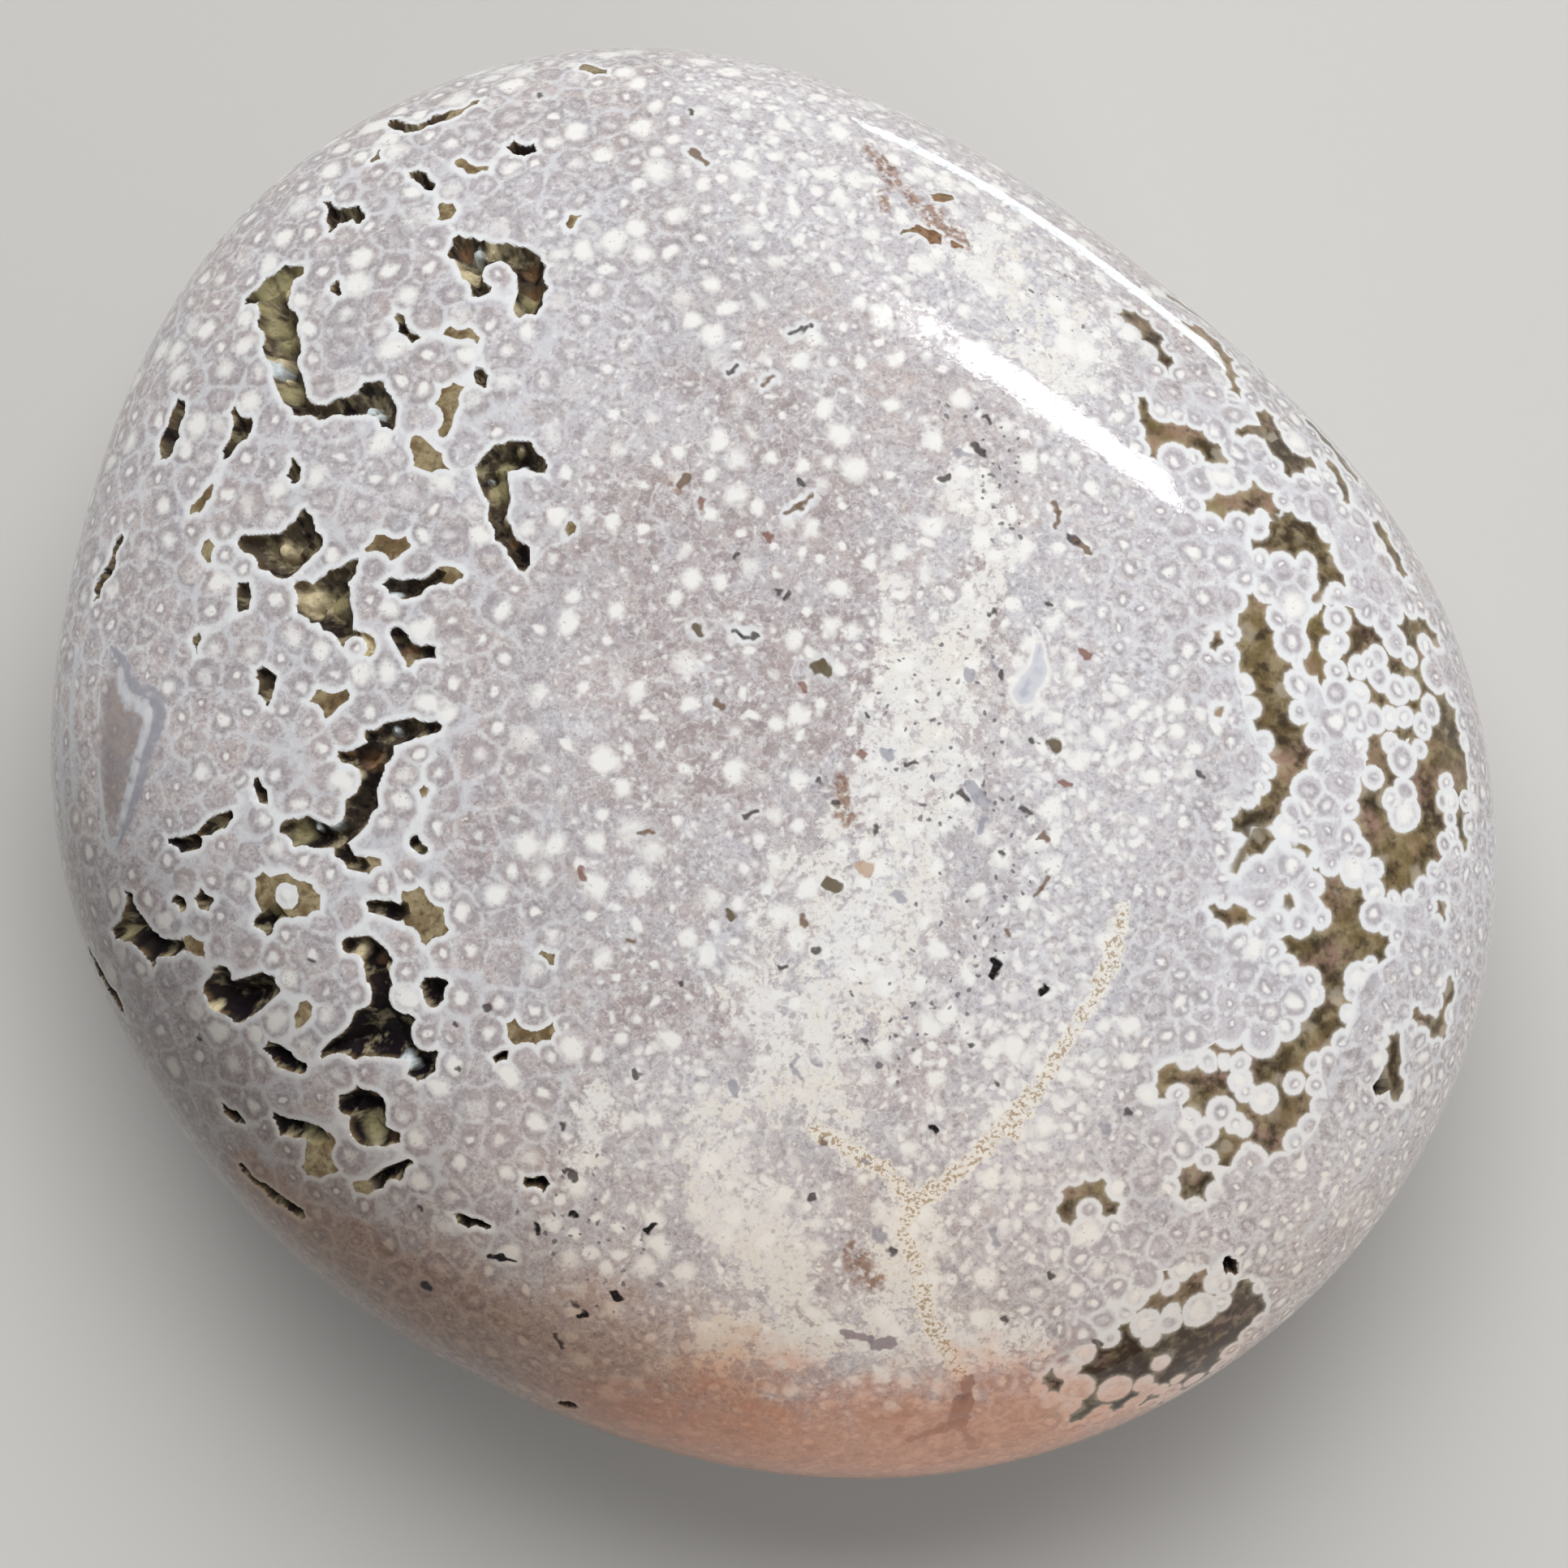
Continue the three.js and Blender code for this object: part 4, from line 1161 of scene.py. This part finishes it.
class Nodes:
    """Short ways to add and join nodes of one tree."""

    def __init__(self, tree):
        self.tree = tree

    def add(self, kind, **settings):
        node = self.tree.nodes.new(kind)
        for key, value in settings.items():
            setattr(node, key, value)
        return node

    def feed(self, socket, value):
        if isinstance(value, bpy.types.NodeSocket):
            self.tree.links.new(value, socket)
        else:
            socket.default_value = value

    def maths(self, operation, *values, clamp=False):
        node = self.add("ShaderNodeMath", operation=operation, use_clamp=clamp)
        for socket, value in zip(node.inputs, values):
            self.feed(socket, value)
        return node.outputs[0]

    def vector(self, operation, *values, output="Vector"):
        node = self.add("ShaderNodeVectorMath", operation=operation)
        for socket, value in zip(node.inputs, values):
            self.feed(socket, value)
        return node.outputs[output]

    def ramp(self, value, low, high, start=0.0, end=1.0):
        """From start at low to end at high, with soft ends."""
        node = self.add("ShaderNodeMapRange", interpolation_type="SMOOTHSTEP")
        self.feed(node.inputs["Value"], value)
        self.feed(node.inputs["From Min"], low)
        self.feed(node.inputs["From Max"], high)
        self.feed(node.inputs["To Min"], start)
        self.feed(node.inputs["To Max"], end)
        return node.outputs[0]

    def mix(self, share, a, b, blend="MIX"):
        node = self.add("ShaderNodeMix", data_type="RGBA", blend_type=blend)
        self.feed(node.inputs["Factor"], share)
        self.feed(node.inputs[6], a)
        self.feed(node.inputs[7], b)
        return node.outputs[2]

    def attribute(self, name, output="Fac"):
        return self.add("ShaderNodeAttribute", attribute_name=name).outputs[output]

    def parts(self, vector):
        node = self.add("ShaderNodeSeparateXYZ")
        self.feed(node.inputs[0], vector)
        return tuple(node.outputs)

    def shift(self, value, noise_value, amount):
        """A value moved up and down by a noise, by half of amount either way."""
        return self.maths("MULTIPLY_ADD", noise_value, amount, self.less(value, amount / 2))

    def less(self, value, amount):
        return self.maths("SUBTRACT", value, amount)

    def all_of(self, *values):
        product = values[0]
        for value in values[1:]:
            product = self.maths("MULTIPLY", product, value)
        return product

    def texture(self, kind, place, size, **values):
        """A texture whose features are about size millimetres wide."""
        node = self.add(kind)
        self.feed(node.inputs["Vector"], place)
        for name, value in {"Scale": 1 / size, **values}.items():
            node.inputs[name].default_value = value
        return node

    def split(self, colour_socket):
        node = self.add("ShaderNodeSeparateColor")
        self.feed(node.inputs[0], colour_socket)
        return tuple(node.outputs)

    def clouds(self, place, size, detail, roughness):
        """Three noises of one size that have nothing to do with each other."""
        kind = "ShaderNodeTexNoise"
        node = self.texture(kind, place, size, Detail=detail, Roughness=roughness)
        return self.split(node.outputs["Color"])

    def dots(self, place, size):
        """Scattered dots: the distance from the nearest in steps of size, and its own number."""
        node = self.texture("ShaderNodeTexVoronoi", place, size)
        return node.outputs["Distance"], self.split(node.outputs["Color"])[0]

    def shaken(self, place, size, amount, detail=1.0):
        """A place moved about by a noise, by up to about half of amount millimetres."""
        node = self.texture("ShaderNodeTexNoise", place, size, Detail=detail)
        half = (amount / 2,) * 3
        moved = self.vector("MULTIPLY_ADD", node.outputs["Color"], (amount,) * 3, place)
        return self.vector("SUBTRACT", moved, half)


def new_group(name, vectors, numbers, results):
    """An empty group of nodes, what it is given and what it gives back."""
    tree = bpy.data.node_groups.new(name, "ShaderNodeTree")
    for sockets, way, kind in (
        (vectors, "INPUT", "NodeSocketVector"),
        (numbers, "INPUT", "NodeSocketFloat"),
        (results, "OUTPUT", "NodeSocketFloat"),
    ):
        for socket in sockets:
            tree.interface.new_socket(socket, in_out=way, socket_type=kind)
    n = Nodes(tree)
    return n, n.add("NodeGroupInput").outputs, n.add("NodeGroupOutput").inputs


def orb_group():
    """Adds one orb to the running results: the two nearest edges, the heart and its ring."""
    results = ("Edge", "Second", "Heart", "Ring")
    places = ("Place", "Bent", "Centre", "Size")
    n, given, result = new_group("one_orb", places, results, results)
    radius, heart, bright = n.parts(given["Size"])
    gone = n.vector("DISTANCE", given["Place"], given["Centre"], output="Value")
    edge = n.maths("SUBTRACT", gone, radius)
    n.feed(result["Edge"], n.maths("MINIMUM", given["Edge"], edge))
    farther = n.maths("MAXIMUM", given["Edge"], edge)
    n.feed(result["Second"], n.maths("MINIMUM", given["Second"], farther))
    bent = n.vector("DISTANCE", given["Bent"], given["Centre"], output="Value")
    out = n.maths("DIVIDE", bent, heart)
    glow = n.all_of(n.ramp(out, 2.1, 0.25), bright)
    n.feed(result["Heart"], n.maths("MAXIMUM", given["Heart"], glow))
    off = n.maths("ABSOLUTE", n.less(out, 2.1))
    n.feed(result["Ring"], n.maths("MAXIMUM", given["Ring"], n.ramp(off, 0.9, 0.2)))
    return n.tree


def mark_group():
    """How far a place is outside one mark, in millimetres."""
    places = ("Place", "Start", "End")
    n, given, result = new_group("one_mark", places, ("Half Width",), ("Outside",))
    way = n.vector("SUBTRACT", given["End"], given["Start"])
    off = n.vector("SUBTRACT", given["Place"], given["Start"])
    along = n.maths(
        "DIVIDE",
        n.vector("DOT_PRODUCT", off, way, output="Value"),
        n.vector("DOT_PRODUCT", way, way, output="Value"),
        clamp=True,
    )
    middle = n.vector("MULTIPLY_ADD", way, along, given["Start"])
    gone = n.vector("DISTANCE", given["Place"], middle, output="Value")
    n.feed(result["Outside"], n.maths("SUBTRACT", gone, given["Half Width"]))
    return n.tree


def polished_jasper():
    """The stone's one material: orbs, body, cream, veins, marks, gaps and the polish over all."""
    material = bpy.data.materials.new("polished_jasper")
    material.use_nodes = True
    tree = material.node_tree
    n = Nodes(tree)
    shader = tree.nodes["Principled BSDF"]

    rest = n.attribute("rest", "Vector")
    across, up, height = n.parts(rest)
    place = n.shaken(rest, 0.2, 0.12)
    bent = n.shaken(n.shaken(rest, 0.8, 0.42, 0.0), 0.22, 0.13, 0.0)
    broken = n.shaken(rest, 0.3, 0.3, 0.0)
    grain_a, grain_b, grain_c = n.clouds(rest, 0.16, 2, 0.6)
    lump_a, lump_b, lump_c = n.clouds(rest, 0.28, 2, 0.5)
    mid_a, mid_b, mid_c = n.clouds(rest, 0.7, 3, 0.6)
    broad_a, broad_b, broad_c = n.clouds(rest, 2.6, 4, 0.6)

    # the nearest orbs: their edges, white hearts and the darker ring round those
    group = orb_group()
    edge, second, heart, ring = 9.0, 9.0, 0.0, 0.0
    for i in range(NEAREST_ORBS):
        orb = n.add("ShaderNodeGroup", node_tree=group)
        n.feed(orb.inputs["Place"], place)
        n.feed(orb.inputs["Bent"], bent)
        n.feed(orb.inputs["Centre"], n.attribute(f"orb_{i}", "Vector"))
        n.feed(orb.inputs["Size"], n.attribute(f"size_{i}", "Vector"))
        for name, value in (("Edge", edge), ("Second", second), ("Heart", heart), ("Ring", ring)):
            n.feed(orb.inputs[name], value)
        edge, second, heart, ring = orb.outputs
    ground = n.attribute("ground")
    rim_width = n.attribute("rim")
    void = n.maths("MINIMUM", edge, ground)
    bold = n.ramp(rim_width, 0.09, 0.14)  # 1 where orbs are large and their rims strong

    def zone(name, low=1.25, high=0.65, raggedness=2.0):
        value = n.shift(n.attribute(name), broad_b, raggedness)
        return n.ramp(n.shift(value, mid_b, 1.2), low, high)

    mauve, pepper = zone("mauve"), zone("pepper")
    # both warm tints fade out below the girdle, and the rosy one to either side too
    above = n.ramp(n.shift(height, broad_c, 12.0), 8.0, 13.5)
    middle = n.ramp(n.maths("ABSOLUTE", n.less(across, 3.0)), 19.0, 6.0)
    taupe = n.all_of(zone("taupe", 2.0, 0.4, 1.5), above)
    rosy = n.all_of(zone("rosy", 2.2, 0.4, 1.5), above, middle)
    warm = n.maths("MAXIMUM", taupe, rosy)
    cool = n.ramp(warm, 0, 1, 1, 0.35)
    pale, orbed = zone("pale", 1.4, 0.5), zone("orbed", 1.2, 0.8, 1.0)
    cream = zone("cream", 1.7, 0.2, 3.4)

    # body colour in broad clouds, with patches, wisps and a fine grain
    body = n.mix(n.ramp(broad_a, 0.38, 0.62), BODY_COOL, BODY_WARM)
    body = n.mix(n.all_of(mauve, 0.75), body, MAUVE_BODY)
    body = n.mix(n.all_of(n.maths("MAXIMUM", pale, orbed), 0.7), body, PALE_BODY)
    body = n.mix(n.ramp(mid_c, 0.54, 0.7, 0.0, 0.45), body, BODY_TAN)
    body = n.mix(n.all_of(n.ramp(broad_b, 0.53, 0.66, 0.0, 0.4), cool), body, BODY_BLUE)
    body = n.mix(n.ramp(mid_a, 0.48, 0.68, 0.0, 0.5), body, BODY_LIGHT)
    body = n.mix(n.all_of(mauve, n.ramp(mid_b, 0.45, 0.6), 0.65), body, MAUVE_DEEP)
    for cloud, low, high, most, tint in (
        (lump_a, 0.50, 0.68, 0.40, BODY_LIGHT),
        (lump_b, 0.49, 0.68, 0.55, BODY_DEEP),
        (grain_a, 0.48, 0.70, 0.40, BODY_LIGHT),
        (grain_b, 0.48, 0.70, 0.38, BODY_DEEP),
    ):
        body = n.mix(n.ramp(cloud, low, high, 0.0, most), body, tint)
    wisp = n.maths("ABSOLUTE", n.less(mid_b, 0.5))
    body = n.mix(n.ramp(wisp, 0.035, 0.005, 0.0, 0.35), body, RIM_WHITE)
    body = n.mix(n.all_of(orbed, 0.35), body, PALE_BODY)

    # the darker ring round each heart, and the seams where orbs met
    body = n.mix(n.all_of(ring, bold, 0.35), body, BODY_DEEP)
    met = n.ramp(n.maths("SUBTRACT", second, edge), 0.34, 0.04)
    near_gap = n.ramp(ground, -1.0, 0.0)
    shown = n.maths("MAXIMUM", n.maths("MAXIMUM", near_gap, 0.65), orbed)
    seam = n.all_of(met, shown, bold, n.ramp(lump_c, 0.34, 0.56), 0.8)
    body = n.mix(seam, body, RIM_WHITE)
    between = n.all_of(n.ramp(edge, -0.04, 0.06), bold, n.ramp(lump_a, 0.35, 0.6, 0.3, 0.65))
    body = n.mix(n.all_of(between, cool), body, BETWEEN)

    # cream chalcedony that crumbles into the body
    crumble = 0.0
    for cloud, weight in ((mid_c, 0.42), (lump_b, 0.34), (grain_c, 0.24), (cream, 0.2)):
        crumble = n.maths("MULTIPLY_ADD", cloud, weight, crumble)
    crumble = n.ramp(crumble, 0.605, 0.70)
    crust = n.mix(n.ramp(broad_c, 0.42, 0.58), CREAM_WHITE, CREAM_BODY)
    crust = n.mix(n.ramp(grain_a, 0.52, 0.72, 0.0, 0.55), crust, CREAM_SPECK)
    body = n.mix(n.all_of(crumble, 0.88), body, crust)

    # soft white blobs of two sizes, most where it is pale, and the orbs' hearts
    level = n.maths("MAXIMUM", n.all_of(pale, 0.15), n.all_of(cream, 0.12))
    level = n.maths("MULTIPLY_ADD", bold, -0.2, level)
    for size, low, high, most in ((0.70, 0.04, 0.27, 0.94), (0.41, 0.06, 0.30, 0.76)):
        far, number = n.dots(bent, size)
        far = n.shift(n.maths("SUBTRACT", far, level), lump_b, 0.2)
        body = n.mix(n.ramp(far, high + 0.2, low, 0.0, 0.25), body, BODY_LIGHT)
        strength = n.all_of(n.ramp(far, high + 0.06, low - 0.02), n.ramp(number, -0.4, 0.7))
        strength = n.all_of(strength, n.ramp(warm, 0, 1, most, 0.65 * most))
        strength = n.all_of(strength, n.ramp(cream, 0, 1, 1, 0.55))
        body = n.mix(strength, body, WHITE)
    specked = n.all_of(n.ramp(grain_b, 0.58, 0.68), n.ramp(mid_b, 0.5, 0.62), 0.6)
    white = n.mix(specked, WHITE, HEART_SPECK)
    heart = n.ramp(n.shift(n.shift(heart, lump_a, 0.35), grain_c, 0.25), 0.1, 0.9)
    body = n.mix(n.all_of(heart, n.ramp(warm, 0, 1, 0.95, 0.6)), body, white)

    # thin white lines that wander over the middle
    loop, _, _ = n.clouds(rest, 1.3, 1, 0.4)
    loop = n.maths("ABSOLUTE", n.less(loop, 0.5))
    loop = n.all_of(n.ramp(loop, 0.04, 0.01), n.ramp(broad_c, 0.5, 0.6), 0.45)
    body = n.mix(n.all_of(loop, n.ramp(bold, 0.9, 0.1)), body, RIM_WHITE)

    # pepper, rusty stains, the sandy veins
    speck, number = n.dots(broken, 0.34)
    sprinkled = n.maths("MAXIMUM", pepper, n.all_of(cream, 0.35))
    dark = n.all_of(n.ramp(speck, 0.36, 0.18), n.ramp(number, 0.62, 0.72), sprinkled)
    body = n.mix(n.all_of(dark, 0.85), body, PEPPER_GREY)
    stain = n.ramp(n.shift(n.attribute("stain"), mid_a, 3.0), 1.3, 0.5)
    stain = n.all_of(stain, n.ramp(lump_a, 0.32, 0.55), 0.8)
    body = n.mix(stain, body, n.mix(n.ramp(lump_c, 0.42, 0.6), RUST, RUST_DEEP))
    vein = n.shift(n.shift(n.attribute("vein"), mid_a, 4.0), lump_a, 3.0)
    body = n.mix(n.ramp(vein, 2.0, 1.3, 0.0, 0.85), body, CREAM_BODY)
    sand = n.all_of(n.ramp(vein, 1.7, 0.9), n.ramp(grain_c, 0.47, 0.58), 0.8)
    body = n.mix(sand, body, VEIN_TAN)

    # the agate lens at the left rim, and the slit of agate right of the middle
    agate = n.mix(n.ramp(mid_a, 0.35, 0.65), AGATE_BROWN, BODY_DEEP)
    body = n.mix(n.ramp(n.shift(n.attribute("lens"), mid_a, 8.0), 5, -14, 0.0, 0.8), body, agate)
    grey = n.shift(n.attribute("lens_grey"), lump_a, 0.8)
    body = n.mix(n.ramp(grey, 1.5, 0.6, 0.0, 0.85), body, AGATE_BLUE)
    pale_line = n.shift(n.attribute("lens_pale"), lump_a, 0.8)
    body = n.mix(n.ramp(pale_line, 1.6, 0.6, 0.0, 0.8), body, AGATE_WHITE)
    slit = n.shift(n.attribute("slit"), mid_b, 1.0)
    for low, high, most, tint in (
        (1.95, 1.2, 0.8, WHITE),
        (1.25, 0.8, 0.9, SLIT_PALE),
        (0.70, 0.2, 0.8, SLIT_BLUE),
    ):
        body = n.mix(n.ramp(slit, low, high, 0.0, most), body, tint)

    # white rim along every gap
    rim = n.ramp(void, n.all_of(rim_width, -2.0), n.all_of(rim_width, -0.6))
    strength = n.all_of(n.ramp(grain_a, 0.2, 0.6, 0.75, 0.95), n.ramp(bold, 0.0, 1.0, 0.6, 1.0))
    body = n.mix(n.all_of(rim, strength), body, RIM_WHITE)

    # small marks, some in a white outline
    group = mark_group()
    marks = []
    for i in range(NEAREST_MARKS):
        half_width, outline, shows = n.parts(n.attribute(f"mark_size_{i}", "Vector"))
        mark = n.add("ShaderNodeGroup", node_tree=group)
        n.feed(mark.inputs["Place"], broken)
        n.feed(mark.inputs["Start"], n.attribute(f"mark_start_{i}", "Vector"))
        n.feed(mark.inputs["End"], n.attribute(f"mark_end_{i}", "Vector"))
        n.feed(mark.inputs["Half Width"], half_width)
        marks.append((mark.outputs[0], outline, shows))
    for outside, outline, _ in marks:
        body = n.mix(n.all_of(n.ramp(outside, 0.34, 0.12), outline, 0.75), body, RIM_WHITE)
    for i, (outside, _, shows) in enumerate(marks):
        tint = n.attribute(f"mark_tint_{i}", "Color")
        tint = n.mix(n.ramp(grain_a, 0.5, 0.75, 0.0, 0.15), tint, BODY_DEEP)
        body = n.mix(n.all_of(n.ramp(outside, 0.07, -0.04), shows), body, tint)

    # warm tints along the lower rim, the rosy one partly painted warm light from below; painted
    # warm shade towards the bottom, and painted shade on the lower-left side
    body = n.mix(taupe, body, TAUPE_TINT, "MULTIPLY")
    # the rosy tint is partly the stone's colour and partly painted warm light from below
    body = n.mix(rosy, body, ROSY_TINT, "MULTIPLY")
    body = n.mix(n.all_of(rosy, 0.5), body, ROSY_BODY)
    body = n.mix(n.all_of(rosy, n.ramp(mid_a, 0.5, 0.66), 0.5), body, ROSY_DEEP)
    # painted warm shade: the face warmer and a little darker towards the bottom
    body = n.mix(n.ramp(up, -8.0, -22.0), body, PAINTED_WARM_SHADE, "MULTIPLY")
    # painted shade: the lower-left side darker, as on the side turned from the light
    lower_left_shade = n.vector("DOT_PRODUCT", rest, (-0.75, -0.66, 0.0), output="Value")
    body = n.mix(n.ramp(lower_left_shade, 17.0, 27.0), body, PAINTED_SHADE, "MULTIPLY")

    # windows, fills and vugs
    window = n.mix(n.ramp(broad_c, 0.38, 0.64), OLIVE_DARK, OLIVE)
    for cloud, low, high, most, tint in (
        (broad_a, 0.45, 0.66, 0.90, PINK_TAN),
        (mid_b, 0.42, 0.72, 0.75, FILL_TAN),
        (mid_c, 0.44, 0.69, 0.88, OLIVE_DARK),
    ):
        window = n.mix(n.ramp(cloud, low, high, 0.0, most), window, tint)
    # faint orbs deeper down, brown toward the cluster low on the right, and a pale edge
    ghost, number = n.dots(bent, 1.1)
    ghost = n.all_of(n.ramp(ghost, 0.42, 0.2), n.ramp(number, 0.5, 0.8), 0.5)
    window = n.mix(ghost, window, HALO)
    brown = n.all_of(n.ramp(n.attribute("rosy"), 3.8, 2.0), n.ramp(mid_a, 0.38, 0.56, 0.35, 0.9))
    window = n.mix(brown, window, UMBER)
    window = n.mix(n.ramp(void, 0.26, 0.02, 0.0, 0.4), window, HALO)
    fill = n.mix(n.ramp(mid_c, 0.35, 0.65), BROWN, FILL_TAN)
    fill = n.mix(n.ramp(grain_a, 0.4, 0.7, 0.0, 0.4), fill, BROWN)
    fill = n.mix(n.ramp(lump_c, 0.5, 0.7, 0.0, 0.5), fill, OLIVE_DARK)
    rust = n.mix(n.ramp(lump_b, 0.4, 0.6), RUST, RUST_DEEP)
    fill = n.mix(n.ramp(n.attribute("stain"), 2.6, 1.4, 0.0, 0.75), fill, rust)
    # vugs: dark mineral with painted shadow, near black and darker towards the bottom
    vug = n.mix(n.ramp(up, -14.0, 4.0), VUG_BLACK_AND_SHADOW, VUG_DARK)
    # painted shade: a darker brown band down the wall just below the rim
    vug = n.mix(n.ramp(void, 0.0, 0.14), BROWN, vug)
    vug = n.mix(n.ramp(mid_a, 0.49, 0.62, 0.0, 0.85), vug, VUG_WALL)
    # black patches of dark mineral and painted shadow
    vug = n.mix(n.ramp(mid_c, 0.47, 0.6, 0.0, 0.88), vug, VUG_BLACK_AND_SHADOW)
    # lumps inside the vugs; the frost ones carry painted glints of light
    for name, tint in (
        ("olive", LUMP_OLIVE),
        ("brown", LUMP_BROWN),
        ("tan", LUMP_TAN),
        ("frost", LUMP_FROST_AND_GLINT),
    ):
        near = n.shift(n.attribute(name), lump_b, 0.9)
        vug = n.mix(n.ramp(near, 1.45, 0.5), vug, tint)
    # fine black specks of dark mineral and painted shadow
    vug = n.mix(n.ramp(grain_a, 0.45, 0.75, 0.0, 0.4), vug, VUG_BLACK_AND_SHADOW)
    opened, filled = n.attribute("opened"), n.attribute("filled")
    inside = n.mix(opened, n.mix(filled, window, fill), vug)
    clear = n.maths("SUBTRACT", 1.0, n.maths("MAXIMUM", opened, filled))
    in_gap = n.ramp(void, -0.01, n.maths("MULTIPLY_ADD", clear, 0.07, 0.035))
    n.feed(shader.inputs["Base Color"], n.mix(in_gap, body, inside))

    # a glassy polish, dull inside the open vugs, with a slight unevenness
    polish = n.ramp(mid_b, 0.3, 0.7, *POLISH)
    dull = n.all_of(n.ramp(n.attribute("dull"), 1.6, 0.7), n.ramp(lump_a, 0.42, 0.58))
    polish = n.maths("MULTIPLY_ADD", dull, DULL_PATCH, polish)
    polish = n.maths("MULTIPLY_ADD", n.all_of(in_gap, opened), VUG_DULLNESS, polish)
    n.feed(shader.inputs["Roughness"], polish)
    shader.inputs["IOR"].default_value = GLOSS
    relief = n.maths("ADD", mid_a, n.all_of(grain_a, 0.1))
    bump = n.add("ShaderNodeBump")
    bump.inputs["Strength"].default_value, bump.inputs["Distance"].default_value = RELIEF
    n.feed(bump.inputs["Height"], relief)
    n.feed(shader.inputs["Normal"], bump.outputs[0])
    return material


stone.data.materials.append(polished_jasper())
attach(stone, "root")
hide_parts("palm_stone")


# ------------------------------------------------------------------ floor, light and camera
FLOOR_PALE = (0.62, 0.61, 0.59, 1)
STUDIO_GLOW = 0.19


def plain_floor():
    bpy.ops.object.select_all(action="DESELECT")
    bpy.ops.mesh.primitive_plane_add(size=4, location=(0, 0, 0))
    floor = bpy.context.object
    floor.name = "floor"
    material = bpy.data.materials.new("pale_floor")
    material.use_nodes = True
    shader = material.node_tree.nodes["Principled BSDF"]
    shader.inputs["Base Color"].default_value = FLOOR_PALE
    shader.inputs["Roughness"].default_value = 0.8
    shader.inputs["Specular IOR Level"].default_value = 0.0
    floor.data.materials.append(material)


def area_light(name, place, target, size, power, mirrored, level=(1, 0, 0), tint=(1, 1, 1)):
    """A rectangular lamp that faces target, its width along level; mirrored in gloss or not."""
    bpy.ops.object.light_add(type="AREA", location=place)
    lamp = bpy.context.object
    lamp.name = name
    lamp.data.shape = "RECTANGLE"
    lamp.data.size, lamp.data.size_y = size
    lamp.data.energy = power
    lamp.data.color = tint
    back = (Vector(place) - Vector(target)).normalized()
    up = back.cross(Vector(level)).normalized()
    lamp.rotation_euler = Matrix((up.cross(back), up, back)).transposed().to_euler()
    lamp.visible_camera = False
    lamp.visible_glossy = mirrored
    lamp.visible_diffuse = not mirrored


def lights():
    world = bpy.data.worlds.new("studio")
    world.use_nodes = True
    background = world.node_tree.nodes["Background"]
    background.inputs["Color"].default_value = (1, 1, 1, 1)
    background.inputs["Strength"].default_value = STUDIO_GLOW
    bpy.context.scene.world = world
    area_light("soft_light", (0.02, 0.36, 0.56), (0, 0, 0), (0.6, 0.6), 4.65, mirrored=False)
    area_light("low_fill", (0.40, -0.38, 0.20), (0, 0, 0.01), (0.3, 0.2), 1.1, mirrored=False)
    # two strips whose mirror images are the long streaks on the upper right
    area_light(
        "upper_strip", (0.222, 0.333, 0.335), (0.010, 0.013, 0.022), (0.145, 0.044), 0.232,
        mirrored=True, level=(0.131, -0.046, -0.043),
    )  # fmt: skip
    area_light(
        "low_strip", (0.0265, 0.054, 0.0026), (0.0028, 0.043, 0.0165), (0.038, 0.0055), 0.003,
        mirrored=True, level=(0.41, -0.91, 0), tint=(0.82, 0.95, 1.0),
    )  # fmt: skip


def camera():
    bpy.ops.object.camera_add(location=EYE * MM, rotation=(CAMERA_TILT, 0, 0))
    eye = bpy.context.object
    eye.data.lens = LENS
    eye.data.sensor_width = SENSOR
    eye.data.clip_start = 0.01
    bpy.context.scene.camera = eye


plain_floor()
lights()
camera()
bpy.context.scene.view_settings.view_transform = "Standard"
